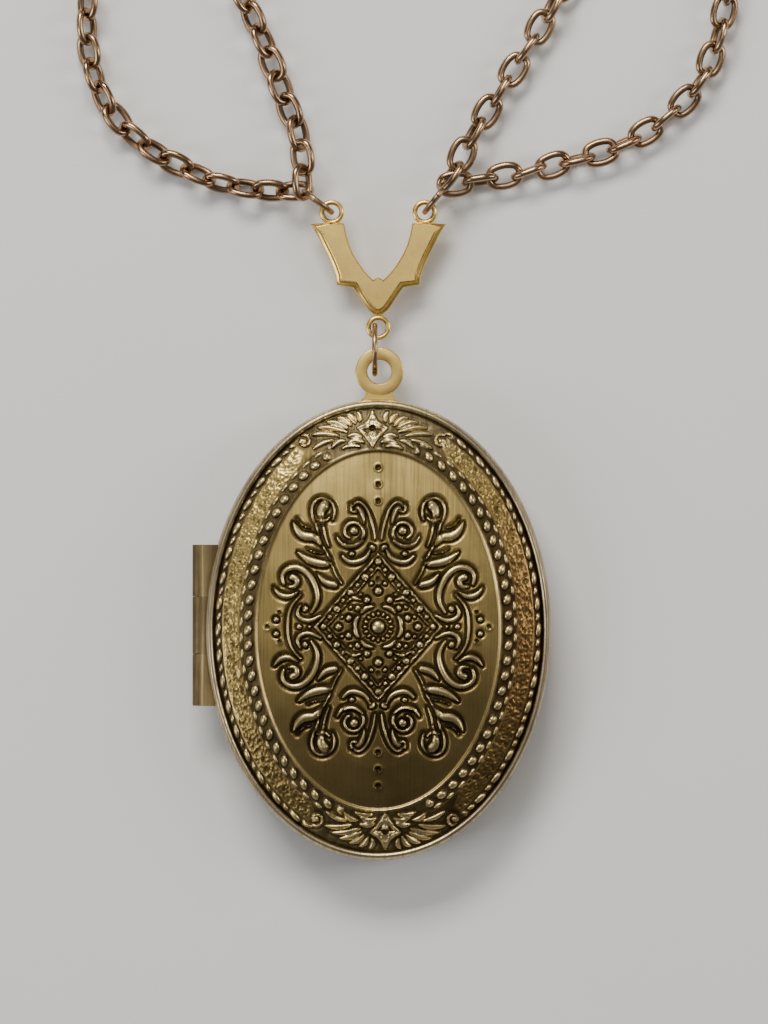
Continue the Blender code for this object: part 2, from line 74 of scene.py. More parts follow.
ROUTES = {
    "chain_left_outer": (
        (-12.9, 38.7), (-16.4, 40.0), (-19.3, 41.5), (-21.9, 43.6), (-23.9, 46.2), (-25.0, 49.2),
        (-25.4, 52.2), (-25.3, 55.3), (-25.1, 62.0), (-25.5, 72.0), (-25.2, 84.0), (-25.5, 96.0),
        (-25.2, 108.0), (-25.5, 120.0), (-25.4, 126.0), *OUTER_RETURN,
    ),
    "chain_left_inner": (
        (-6.8, 42.6), (-8.1, 46.1), (-9.6, 50.3), (-11.4, 54.4), (-14.0, 59.5),
        (-17.4, 65.0), (-20.4, 71.0), (-21.9, 77.5), (-22.2, 86.0), (-21.9, 97.0),
        (-22.2, 109.0), (-22.0, 120.0), (-22.2, 126.0), *INNER_RETURN,
    ),
    "chain_right_inner": (
        (8.9, 44.2), (10.7, 47.0), (12.4, 49.7), (14.2, 52.7), (16.0, 55.7),
        (18.9, 60.3), (22.5, 65.9), (25.6, 71.6), (27.1, 78.0), (27.4, 86.0), (27.1, 97.0),
        (27.4, 109.0), (27.2, 120.0), (27.4, 126.0), *mirrored(INNER_RETURN),
    ),
    "chain_right_outer": (
        (12.4, 39.8), (15.9, 40.6), (19.5, 41.6), (22.9, 43.1), (25.7, 45.1),
        (27.8, 47.4), (29.1, 50.0), (29.9, 52.7), (30.4, 55.5), (30.6, 62.0), (30.4, 72.0),
        (30.6, 84.0), (30.4, 96.0), (30.6, 108.0), (30.4, 120.0), (30.6, 126.0),
        *mirrored(OUTER_RETURN),
    ),
}

# Locket, in millimetres, as in the CAD source.
HALF_WIDTH = 15.0
HALF_HEIGHT = 20.0
HINGE = (-15.5, 3.75)
KNUCKLE_RADIUS = 0.65
KNUCKLE_GAP = 0.02
KNUCKLE_SPANS = ((-6.6, -2.1 - KNUCKLE_GAP), (-2.1, 2.9), (2.9 + KNUCKLE_GAP, 7.4))
ORNAMENT_CENTRE = 0.3
LOZENGE = (5.45, 6.25)
BAIL_CENTRE = (0.1, 22.45)

# The connector's eyes: the lower one, and the right one of the upper pair.
LOWER_EYE = (0.0, 26.3)
UPPER_EYE = (4.05, 36.35)
END_MOTIFS = ((-0.5, 1), (0.6, -1))  # the middle of each in X, and its side in Y


# ---------------------------------------------------------------- materials

class Shader:
    """A short way to build one node material."""

    def __init__(self, name):
        self.material = bpy.data.materials.new(name)
        self.material.use_nodes = True
        self.tree = self.material.node_tree
        self.bsdf = self.tree.nodes["Principled BSDF"]
        self.place = self.node("ShaderNodeTexCoord").outputs["Object"]

    def node(self, kind, inputs=None, **settings):
        """A new node with its settings and its inputs."""
        made = self.tree.nodes.new(kind)
        for key, value in settings.items():
            setattr(made, key, value)
        self.feed(made, inputs or {})
        return made

    def feed(self, node, inputs):
        """Gives each input a fixed value or another node's output."""
        for label, value in inputs.items():
            if isinstance(value, bpy.types.NodeSocket):
                self.tree.links.new(value, node.inputs[label])
            else:
                node.inputs[label].default_value = value

    def noise(self, scale, detail, stretch=(1, 1, 1)):
        mapping = self.node("ShaderNodeMapping", {"Vector": self.place, "Scale": stretch})
        return self.node("ShaderNodeTexNoise", {
            "Vector": mapping.outputs["Vector"], "Scale": scale, "Detail": detail,
        }).outputs["Fac"]

    def span(self, value, low, high, to_low, to_high):
        return self.node("ShaderNodeMapRange", {
            "Value": value, "From Min": low, "From Max": high, "To Min": to_low, "To Max": to_high,
        }).outputs["Result"]

    def math(self, operation, first, second):
        made = self.node("ShaderNodeMath", {0: first, 1: second}, operation=operation)
        return made.outputs["Value"]

    def mix(self, factor, first, second):
        first, second = (
            (*colour, 1) if isinstance(colour, tuple) else colour for colour in (first, second)
        )
        made = self.node(
            "ShaderNodeMix", {"Factor": factor, "A": first, "B": second}, data_type="RGBA",
        )
        return made.outputs["Result"]

    def attribute(self, name, output="Fac"):
        return self.node("ShaderNodeAttribute", attribute_name=name).outputs[output]

    def bump(self, height, distance):
        made = self.node("ShaderNodeBump", {
            "Height": height, "Strength": 0.3, "Distance": distance,
        })
        self.feed(self.bsdf, {"Normal": made.outputs["Normal"]})

    def surface(self, colour, rough, inputs=None):
        """Finishes the material with its colour, its roughness and any other inputs."""
        self.feed(self.bsdf, {"Base Color": colour, "Roughness": rough, **(inputs or {})})
        return self.material


def brass(name, bright, dark, rough, brushed=None, patina=False, tint=None):
    """Worn brass: blotched metal, fine wear and, where the mesh says so, dark oxide."""
    s = Shader(name)
    if bright == "tone":
        bright = s.attribute("tone", "Color")
    blotch = s.span(s.noise(220, 4), 0.38, 0.68, 0.0, 0.55)
    tarnish = s.mix(s.span(s.noise(90, 2), 0.3, 0.7, 0.45, 0.75), bright, dark)
    colour = s.mix(blotch, bright, tarnish)
    if tint:
        colour = s.mix(s.span(s.noise(75, 2), 0.48, 0.78, 0.0, 0.8), colour, tint)
    colour = s.mix(s.span(s.noise(3200, 2), 0.66, 0.84, 0.0, 0.4), colour, dark)
    wear = s.noise(1000, 5, brushed or (1, 1, 1))
    rough_value = s.span(wear, 0.3, 0.7, *rough)
    if brushed:
        colour = s.mix(s.span(wear, 0.42, 0.72, 0.0, 0.42), colour, dark)
    if patina:
        uneven = s.span(s.noise(900, 3), 0.2, 0.6, 0.78, 1.0)
        grime = s.math("MULTIPLY", s.attribute("patina"), uneven)
        colour = s.mix(grime, colour, dark)
        rough_value = s.math("ADD", rough_value, s.math("MULTIPLY", grime, 0.3))
    s.bump(wear, 0.00002 if brushed else 0.000006)
    return s.surface(colour, rough_value, {"Metallic": 1.0})


def floor_material():
    s = Shader("pale_floor")
    colour = s.mix(s.noise(30, 3), (0.80, 0.79, 0.77), (0.76, 0.75, 0.73))
    return s.surface(colour, s.span(s.noise(250, 2), 0.3, 0.7, 0.55, 0.7))


def film_material():
    s = Shader("clear_film")
    rough = s.span(s.noise(500, 3), 0.3, 0.8, 0.03, 0.14)
    colour = s.mix(s.noise(60, 2), (0.96, 0.97, 0.96), (0.92, 0.93, 0.90))
    return s.surface(colour, rough, {"Transmission Weight": 1.0, "IOR": 1.46, "Alpha": 0.16})


def card_material():
    s = Shader("blank_card")
    fibre = s.noise(1500, 4, (1, 0.3, 1))
    s.bump(fibre, 0.00003)
    return s.surface(s.mix(fibre, (0.92, 0.83, 0.64), (0.80, 0.70, 0.51)), 0.85)


def steel_material():
    s = Shader("spring_steel")
    fine = s.noise(2000, 3)
    colour = s.mix(fine, (0.62, 0.61, 0.60), (0.42, 0.41, 0.40))
    return s.surface(colour, s.span(fine, 0.3, 0.7, 0.2, 0.4), {"Metallic": 1.0})


BRUSH = (7.0, 0.12, 1)
LOOKS = {
    "front": brass(
        "antique_brass_front", "tone", (0.020, 0.012, 0.006), (0.25, 0.38), BRUSH, patina=True,
    ),
    "back": brass(
        "antique_brass", (0.40, 0.31, 0.13), (0.035, 0.024, 0.012), (0.28, 0.42), BRUSH,
        patina=True, tint=(0.34, 0.22, 0.11),
    ),
    "hinge": brass(
        "hinge_brass", (0.38, 0.285, 0.13), (0.05, 0.035, 0.018), (0.28, 0.45), (4, 0.2, 4),
        patina=True, tint=(0.36, 0.31, 0.20),
    ),
    "bright": brass(
        "bright_brass", (0.97, 0.69, 0.21), (0.36, 0.22, 0.06), (0.20, 0.34), patina=True,
    ),
    "frame": brass(
        "frame_brass", (0.78, 0.54, 0.17), (0.30, 0.20, 0.07), (0.22, 0.38), patina=True,
    ),
    "chain": brass(
        "chain_brass", (0.47, 0.31, 0.18), (0.030, 0.015, 0.009), (0.15, 0.30), patina=True,
        tint=(0.34, 0.18, 0.10),
    ),
    "ring": brass("ring_brass", (0.40, 0.26, 0.14), (0.06, 0.035, 0.02), (0.22, 0.38)),
    "clasp": brass(
        "clasp_brass", (0.42, 0.28, 0.155), (0.05, 0.03, 0.018), (0.22, 0.40),
        tint=(0.34, 0.20, 0.12),
    ),
    "floor": floor_material(),
    "film": film_material(),
    "card": card_material(),
    "steel": steel_material(),
}


# ---------------------------------------------------------------- mesh helpers

def into_scene(thing):
    """Links a new object to the scene and gives it back."""
    bpy.context.scene.collection.objects.link(thing)
    return thing


def place_mesh(name, points, faces, look, body, node, patina, sharp, tone=None):
    """Makes a smooth-shaded piece from points in millimetres, in place of one CAD node.

    The patina and the tone are given for each point, and edges sharper than `sharp` degrees
    stay hard.
    """
    mesh = bpy.data.meshes.new(name)
    mesh.from_pydata((np.asarray(points) * MM).tolist(), [], faces)
    mesh.shade_smooth()
    mesh.set_sharp_from_angle(angle=math.radians(sharp))
    layer = mesh.attributes.new("patina", "FLOAT", "POINT")
    layer.data.foreach_set("value", np.asarray(patina, dtype=np.float32).ravel())
    if tone is not None:
        layer = mesh.attributes.new("tone", "FLOAT_COLOR", "POINT")
        full = np.concatenate([tone, np.ones((len(tone), 1))], axis=1).astype(np.float32)
        layer.data.foreach_set("color", full.ravel())
    piece = into_scene(bpy.data.objects.new(name, mesh))
    mesh.materials.append(LOOKS[look])
    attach(piece, body)
    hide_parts(node)
    return piece


def grid_faces(rows, columns, close_rows=False):
    """Quads between rows of points that close on themselves, and so may the rows in turn."""
    r, c = np.meshgrid(np.arange(rows if close_rows else rows - 1), np.arange(columns), indexing="ij")
    next_r, next_c = (r + 1) % rows, (c + 1) % columns
    return np.stack(
        [r * columns + c, r * columns + next_c, next_r * columns + next_c, next_r * columns + c],
        axis=-1,
    ).reshape(-1, 4).tolist()


def tube_faces(rows, sides):
    """Quads along a tube of `rows` rings, with one face over each of its ends."""
    count = rows * sides
    return [
        *grid_faces(rows, sides), list(range(sides))[::-1], list(range(count - sides, count)),
    ]


def swept(path, radius, sides, closed, squash=1.0, up=(0, 0, 1)):
    """A round bar along a path, as points in rows of `sides`; `squash` scales it upwards."""
    path = np.asarray(path, dtype=float)
    if closed:
        ahead = np.roll(path, -1, 0) - np.roll(path, 1, 0)
    else:
        ahead = np.gradient(path, axis=0)
    ahead /= np.linalg.norm(ahead, axis=1)[:, None]
    side = np.cross(ahead, np.asarray(up, dtype=float))
    side /= np.linalg.norm(side, axis=1)[:, None]
    top = np.cross(side, ahead)
    around = np.linspace(0, 2 * math.pi, sides, endpoint=False)
    radius = np.broadcast_to(radius, (len(path),))[:, None, None]
    return (
        path[:, None]
        + radius * np.cos(around)[None, :, None] * side[:, None]
        + radius * squash * np.sin(around)[None, :, None] * top[:, None]
    ).reshape(-1, 3)


DOME = 0.85  # how far a bar's domed end stands out, as a share of its radius
CAP_MARGIN = 0.04


class Parts:
    """Gathers points, faces and patina of one piece that is made of several shapes."""

    def __init__(self):
        self.points = []
        self.faces = []
        self.patina = []
        self.count = 0

    def add(self, points, faces, patina=0.0, at=(0, 0, 0)):
        points = np.asarray(points, dtype=float) + at
        self.points.append(points)
        self.faces += [[corner + self.count for corner in face] for face in faces]
        self.patina.append(np.broadcast_to(patina, (len(points),)))
        self.count += len(points)

    def finish(self, name, look, body, node, sharp=40):
        return place_mesh(
            name, np.concatenate(self.points), self.faces, look, body, node,
            np.concatenate(self.patina), sharp,
        )


def circle_at(centre, radius, steps):
    """Points round a level circle."""
    turn = np.linspace(0, 2 * math.pi, steps, endpoint=False)
    return centre + radius * np.stack([np.cos(turn), np.sin(turn), 0 * turn], axis=1)


def bar(path, radius, sides, closed=False, squash=1.0):
    """A round bar with domed ends, or a ring if closed: points and faces."""
    path = np.asarray(path, dtype=float)
    radius = np.broadcast_to(radius, (len(path),)).astype(float)
    if closed:
        return swept(path, radius, sides, True, squash), grid_faces(len(path), sides, True)
    first = (path[0] - path[1]) / np.linalg.norm(path[0] - path[1])
    last = (path[-1] - path[-2]) / np.linalg.norm(path[-1] - path[-2])
    out, share = np.array(((0.55, 0.80), (0.85, 0.50), (1.0, 0.06))).T
    head = path[0] + first * radius[0] * DOME * out[::-1, None]
    tail = path[-1] + last * radius[-1] * DOME * out[:, None]
    path = np.concatenate([head, path, tail])
    radius = np.concatenate([radius[0] * share[::-1], radius, radius[-1] * share])
    return swept(path, radius, sides, False, squash), tube_faces(len(path), sides)


def lathe(centre, section, segments):
    """A closed section of (radius, z) turned about an upright line: points and faces."""
    section = np.array(section)
    turn = np.linspace(0, 2 * math.pi, segments, endpoint=False)
    x = centre[0] + section[:, 0][None, :] * np.cos(turn)[:, None]
    y = centre[1] + section[:, 0][None, :] * np.sin(turn)[:, None]
    z = centre[2] + np.broadcast_to(section[:, 1][None, :], x.shape)
    return np.stack([x, y, z], axis=-1).reshape(-1, 3), grid_faces(segments, len(section), True)


def washer_section(inner, outer, half, soft):
    """A rectangle between two radii, its corners rounded by `soft`."""
    section = []
    for radius, z, start in (
        (outer - soft, half - soft, 0), (inner + soft, half - soft, 90),
        (inner + soft, soft - half, 180), (outer - soft, soft - half, 270),
    ):
        for turn in np.radians(start + np.linspace(0, 90, 5)):
            section.append((radius + soft * math.cos(turn), z + soft * math.sin(turn)))
    return section


def inward(outline, weights, amount):
    """The outline moved inwards; each corner's share of the amount is given by its weight."""
    outline = np.asarray(outline, dtype=float)
    ahead = np.roll(outline, -1, 0) - outline
    ahead /= np.linalg.norm(ahead, axis=1)[:, None]
    left = np.stack([-ahead[:, 1], ahead[:, 0]], axis=1)
    before = np.roll(left, 1, 0)
    share = 1 + (left * before).sum(1)
    move = (left + before) / np.maximum(share, 0.5)[:, None]
    return outline + move * np.asarray(weights)[:, None] * amount


def plate(outline, levels, weights=None):
    """A flat part: the outline (anticlockwise) stepped inwards at each (inset, z) level.

    A narrow flat margin inside both end levels keeps their smooth shading off the caps.
    """
    if weights is None:
        weights = np.ones(len(outline))
    first, last = levels[0], levels[-1]
    levels = [(first[0] + CAP_MARGIN, first[1]), *levels, (last[0] + CAP_MARGIN, last[1])]
    rows = []
    for amount, z in levels:
        ring = inward(outline, weights, amount)
        rows.append(np.concatenate([ring, np.full((len(ring), 1), z)], axis=1))
    count = len(outline)
    faces = grid_faces(len(levels), count)
    for row, facing in ((0, -1), (len(levels) - 1, 1)):
        flat = [[Vector((x, y, 0)) for x, y, _ in rows[row]]]
        for triangle in tessellate_polygon(flat):
            a, b, c = (rows[row][corner] for corner in triangle)
            turn = np.cross(b - a, c - a)[2]
            corners = [corner + row * count for corner in triangle]
            faces.append(corners if turn * facing > 0 else corners[::-1])
    return np.concatenate(rows), faces


def through(points, each):
    """A curve through points (Catmull-Rom), with `each` steps from one to the next."""
    knots = [np.array(point, dtype=float) for point in points]
    knots = [2 * knots[0] - knots[1], *knots, 2 * knots[-1] - knots[-2]]
    line = []
    for a, b, c, d in zip(knots, knots[1:], knots[2:], knots[3:]):
        for step in range(each):
            t = step / each
            line.append(0.5 * (
                2 * b + (c - a) * t + (2 * a - 5 * b + 4 * c - d) * t**2
                + (3 * b - a - 3 * c + d) * t**3
            ))
    line.append(knots[-2])
    return np.array(line)


# ---------------------------------------------------------------- chain strands

# The centre of each strand's first and last link, and the two rolls, in degrees, that its
# links have in turn.
STRANDS = {
    "chain_left_outer": ((-7.28, 38.22, 1.75), (-5.2, 65.0, 2.55), (48, -42)),
    "chain_left_inner": ((-6.62, 38.96, 2.65), (-5.22, 64.05, 1.6), (50, -40)),
    "chain_right_inner": ((6.31, 39.43, 2.65), (10.95, 63.95, 2.4), (96, 8)),
    "chain_right_outer": ((6.73, 38.84, 1.75), (10.95, 65.1, 3.4), (12, 100)),
}
FIRST_SEED = 11
END_REACH = 1.6  # how many links it takes to come down from the ring that an end hangs in


def smooth_route(route, step):
    """Points `step` apart on the natural cubic spline through the route's points."""
    knots = np.array(route)
    at = np.concatenate([[0], np.cumsum(np.linalg.norm(np.diff(knots, axis=0), axis=1))])
    size = len(knots)
    gap = np.diff(at)
    matrix = np.eye(size)
    slopes = np.zeros((size, 2))
    for row in range(1, size - 1):
        matrix[row, row - 1] = gap[row - 1]
        matrix[row, row] = 2 * (gap[row - 1] + gap[row])
        matrix[row, row + 1] = gap[row]
        rise_after = (knots[row + 1] - knots[row]) / gap[row]
        rise_before = (knots[row] - knots[row - 1]) / gap[row - 1]
        slopes[row] = 6 * (rise_after - rise_before)
    bend = np.linalg.solve(matrix, slopes)
    fine = np.linspace(0, at[-1], 4000)
    span = np.clip(np.searchsorted(at, fine, side="right") - 1, 0, size - 2)
    width = gap[span][:, None]
    back = ((at[span + 1] - fine)[:, None]) / width
    ahead = 1 - back
    line = back * knots[span] + ahead * knots[span + 1]
    line += ((back**3 - back) * bend[span] + (ahead**3 - ahead) * bend[span + 1]) * width**2 / 6
    travelled = np.concatenate([[0], np.cumsum(np.linalg.norm(np.diff(line, axis=0), axis=1))])
    count = max(2, round(travelled[-1] / step) + 1)
    even = np.linspace(0, travelled[-1], count)
    return np.stack([np.interp(even, travelled, line[:, k]) for k in (0, 1)], axis=1)


def link_shape():
    """One oval link about the origin, long along X and flat in XY, and its patina."""
    half_straight = (LINK_LENGTH - LINK_WIDTH) / 2
    bend_radius = LINK_WIDTH / 2 - LINK_WIRE
    turn = np.linspace(0, 2 * math.pi, LINK_STEPS, endpoint=False) + math.pi / LINK_STEPS
    straight = np.sign(np.cos(turn)) * np.minimum(1, np.abs(np.cos(turn)) * 1.6)
    x = bend_radius * np.cos(turn) + half_straight * straight
    y = bend_radius * np.sin(turn) * 1.02
    points = swept(np.stack([x, y, 0 * x], axis=1), LINK_WIRE, LINK_SIDES, True)
    inner = 1 - np.hypot(points[:, 0] / (LINK_LENGTH / 2), points[:, 1] / (LINK_WIDTH / 2))
    patina = np.clip(inner * 2.2 - 0.30, 0, 1)
    return points, grid_faces(LINK_STEPS, LINK_SIDES, True), patina


def make_strand(name, seed):
    """A cable chain: oval links, each turned a quarter about the strand from the one before."""
    random = np.random.default_rng(seed)
    start, end, rolls = STRANDS[name]
    route = (start[:2], *ROUTES[name], end[:2])
    line = smooth_route(route, LINK_LENGTH - 4 * LINK_WIRE)
    shape, faces, patina = link_shape()
    ahead = np.gradient(line, axis=0)
    ahead /= np.linalg.norm(ahead, axis=1)[:, None]
    count = len(line)
    strand = Parts()
    for number, (centre, heading) in enumerate(zip(line, ahead)):
        roll = math.radians(rolls[number % 2] + random.normal(0, 7))
        heading = Matrix.Rotation(math.radians(random.normal(0, 3)), 2) @ Vector(heading)
        forward = Vector((heading.x, heading.y, 0))
        side = Vector((-heading.y, heading.x, 0)) * math.cos(roll)
        side += Vector((0, 0, 1)) * math.sin(roll)
        turn = np.array([forward, side, forward.cross(side)])
        lift = LINK_WIDTH / 2 * abs(math.sin(roll)) + LINK_WIRE * abs(math.cos(roll))
        level = max(CHAIN_LEVEL, lift + 0.03)
        level += (start[2] - level) * math.exp(-((number / END_REACH) ** 2))
        level += (end[2] - level) * math.exp(-(((count - 1 - number) / END_REACH) ** 2))
        shade = random.uniform(-0.15, 0.15)
        strand.add(shape @ turn, faces, np.clip(patina + shade, 0, 1), (*centre, level))
    piece = strand.finish(f"{name}_links", "chain", "chain", name, 60)
    fine = smooth_route(route, 1.5)


def make_chains():
    """The four strands, each with random rolls of its own."""
    for number, name in enumerate(STRANDS):
        make_strand(name, FIRST_SEED + number)


# ---------------------------------------------------------------- rings, bail and connector

RING_STEPS = 60
RING_SIDES = 14
RING_CUT = 0.1


def jump_ring(name, node, body, centre, radius, wire, heading, gap_at):
    """A wire ring, standing upright along the heading, with the fine cut of its two ends."""
    heading = np.array([*heading, 0.0])
    heading /= np.linalg.norm(heading)
    gap = RING_CUT / 2 / radius
    turn = np.linspace(gap, 2 * math.pi - gap, RING_STEPS) + math.radians(gap_at)
    path = centre + radius * (
        np.cos(turn)[:, None] * heading + np.sin(turn)[:, None] * np.array([0, 0, 1.0])
    )
    across = (-heading[1], heading[0], 0)
    points = swept(path, wire, RING_SIDES, False, 1.0, across)
    ring = Parts()
    ring.add(points, tube_faces(RING_STEPS, RING_SIDES))
    ring.finish(name, "ring", body, node, 60)


PENDANT_RING = 2.1  # radii of the rings, along the middle of the wire
SIDE_RING = 1.5


def make_rings():
    """The pendant's ring, tilted between its two eyes, and the rings at the strands' ends."""
    lower = np.array([-0.3, 22.3, 2.7])
    upper = np.array([-0.3, 26.3, 2.2])
    chord = upper - lower
    half = np.linalg.norm(chord) / 2
    normal = np.array([0, -chord[2], chord[1]]) / half / 2
    centre = (lower + upper) / 2 + normal * math.sqrt(PENDANT_RING**2 - half**2)
    jump_ring(
        "pendant_jump_ring", "pendant_ring", "pendant_ring", centre, PENDANT_RING, 0.25, (0, 1), 95,
    )
    for name, side, heading in (("left", -1, (-0.80, 0.60)), ("right", 1, (0.62, 0.7846))):
        eye = np.array([side * UPPER_EYE[0], UPPER_EYE[1], 2.2])
        jump_ring(
            f"side_jump_ring_{name}", f"side_ring_{name}", "chain",
            eye + np.array([*heading, 0]) * SIDE_RING, SIDE_RING, 0.25, heading, 80,
        )
    for name, centre, radius, gap_at in (
        ("left", (-2.9, 64.5, 2.1), 1.7, 100), ("right", (7.74, 64.5, 3.0), 2.6, 85),
    ):
        jump_ring(
            f"end_jump_ring_{name}", f"end_ring_{name}", "chain", np.array(centre), radius, 0.3,
            (1, 0), gap_at,
        )


def make_bail():
    """A flat eye with softened edges on a small foot against the back cover."""
    bail = Parts()
    points, faces = lathe((0, 0, 0), washer_section(1.05, 2.1, 0.35, 0.11), 72)
    away = np.hypot(points[:, 0], points[:, 1])
    patina = np.clip((1.25 - away) * 3, 0, 0.6) + np.clip((away - 1.98) * 4, 0, 0.3)
    bail.add(points, faces, patina, (*BAIL_CENTRE, 2.7))
    outline = [
        (x, HALF_HEIGHT * math.sqrt(1 - (x / HALF_WIDTH) ** 2) - 0.05)
        for x in np.linspace(-1.7, 1.7, 13)
    ]
    for side in (
        ((1.5, 20.12), (1.28, 20.42), (1.27, 20.8)),
        ((-1.07, 20.8), (-1.08, 20.42), (-1.32, 20.12)),
    ):
        outline += [tuple(point) for point in through(side, 4)]
    bail.add(*plate(outline, ((0.08, 2.38), (0, 2.45), (0, 2.92), (0.1, 3.02))), 0.15)
    bail.finish("bail_eye", "bright", "locket", "bail")


def make_connector():
    """The V with its raised face, the chased line along its outer edge and three eyes."""
    # Corners of the right half as (x, y, share of each step's inset), up from the tip.
    right = np.array([
        (0.0, 27.35, 1), (0.45, 27.48, 1), (0.85, 27.82, 1), (1.25, 28.35, 1), (1.7, 29.05, 1),
        (2.2, 29.78, 1), (3.62, 30.0, 0.9), (3.7, 30.75, 1), (4.0, 31.6, 1), (4.4, 32.5, 1),
        (4.85, 33.4, 1), (5.3, 34.3, 1), (5.92, 35.3, 0.6), (4.4, 35.42, 0.3), (2.95, 35.4, 0.3),
        (2.76, 34.4, 0.3), (2.5, 33.5, 0.3), (2.15, 32.7, 0.3), (1.7, 31.95, 0.3),
        (1.2, 31.25, 0.3), (0.75, 30.75, 0.3), (0.42, 30.46, 0.3), (0.2, 30.62, 0.3),
        (0.0, 30.66, 0.3),
    ])
    left = right[-2:0:-1] * (-1, 1, 1)
    outline, weights = np.split(np.concatenate([right, left]), [2], axis=1)
    weights = weights[:, 0]
    connector = Parts()
    points, faces = plate(outline, (
        (0.14, 1.65), (0.04, 1.70), (0.0, 1.82), (0.0, 2.42), (0.06, 2.52), (0.28, 2.60),
        (0.33, 2.56), (0.38, 2.62), (0.44, 2.71), (0.52, 2.74),
    ), weights)
    level_dark = (0.3, 0.3, 0.3, 0.2, 0.1, 0.0, 0.1, 0.8, 0.35, 0.0, 0.0, 0.0)
    dark = np.repeat(level_dark, len(outline))
    connector.add(points, faces, dark)
    points, faces = bar(circle_at((0, 0, 0), 0.87, 48), 0.225, 16, True)
    inside = np.clip((0.78 - np.hypot(points[:, 0], points[:, 1])) * 4, 0, 0.6)
    for x, y in ((-UPPER_EYE[0], UPPER_EYE[1]), UPPER_EYE, LOWER_EYE):
        connector.add(points, faces, inside, (x, y, 2.2))
    connector.finish("v_connector_plate", "bright", "connector", "v_connector")


# ---------------------------------------------------------------- hinge

def knuckle(low, high, patina):
    """One rolled knuckle between two heights, dark at its ends: points, faces and patina."""
    half = (high - low) / 2
    points, faces = lathe((0, 0, 0), washer_section(0.42, KNUCKLE_RADIUS, half, 0.07), 40)
    at_end = np.abs(points[:, 2]) > half - 0.1
    points = points[:, (0, 2, 1)] + (HINGE[0], (low + high) / 2, HINGE[1])
    return points, [face[::-1] for face in faces], np.where(at_end, 0.7, patina)


def leaf_strip(start, end, side, bend):
    """The bent strip from a cover's side wall to the barrel, above or below the parting."""
    turns = np.radians(np.linspace(92, 20, 10))
    arc = [(HINGE[0] + bend * math.cos(t), bend * math.sin(t)) for t in turns]
    rows = []
    for y in np.linspace(start, end, 12):
        wall = -HALF_WIDTH * math.sqrt(1 - (y / HALF_HEIGHT) ** 2) + 0.06
        section = [
            (wall, 0.22), (wall, 1.22), (wall - 0.12, 1.27), (-15.12, 1.26), (-15.32, 1.2),
            (-15.48, 1.06), (HINGE[0] - 0.03, 0.92), *arc,
        ]
        rows.append([(x, y, HINGE[1] + side * z) for x, z in section])
    rows = np.array(rows)
    faces = tube_faces(*rows.shape[:2])
    if side > 0:
        faces = [face[::-1] for face in faces]
    return rows.reshape(-1, 3), faces


def make_hinge():
    """Rolled knuckles in turn from each leaf, and the strips that join them to the covers."""
    for name, side, own, body, node in (
        ("hinge_leaf_lower", -1, (0, 2), "locket", "hinge_leaf_back"),
        ("hinge_leaf_upper", 1, (1,), "lid", "hinge_leaf_front"),
    ):
        leaf = Parts()
        for number, (low, high) in enumerate(KNUCKLE_SPANS):
            if number in own:
                leaf.add(*knuckle(low, high, (0.3, 0.5, 0.1)[number]))
                start, end, bend = low, high, 0.58
            else:
                start = low - KNUCKLE_GAP if number > 0 else low
                end = high + KNUCKLE_GAP if number < 2 else high
                bend = 0.78
            leaf.add(*leaf_strip(start, end, side, bend), (0.3, 0.5, 0.15)[number])
        leaf.finish(name, "hinge", body, node, 35)


# ---------------------------------------------------------------- clasp

CLASP = np.array([2.4, 64.5, 2.1])
CLAW_X, CLAW_RADIUS = 2.8, 2.4
HUB_X, HUB_RADIUS = -1.0, 1.98
TAIL_X, TAIL_RADIUS = -3.6, 1.1
PIVOT = (-0.7, 0.85, 0.0)


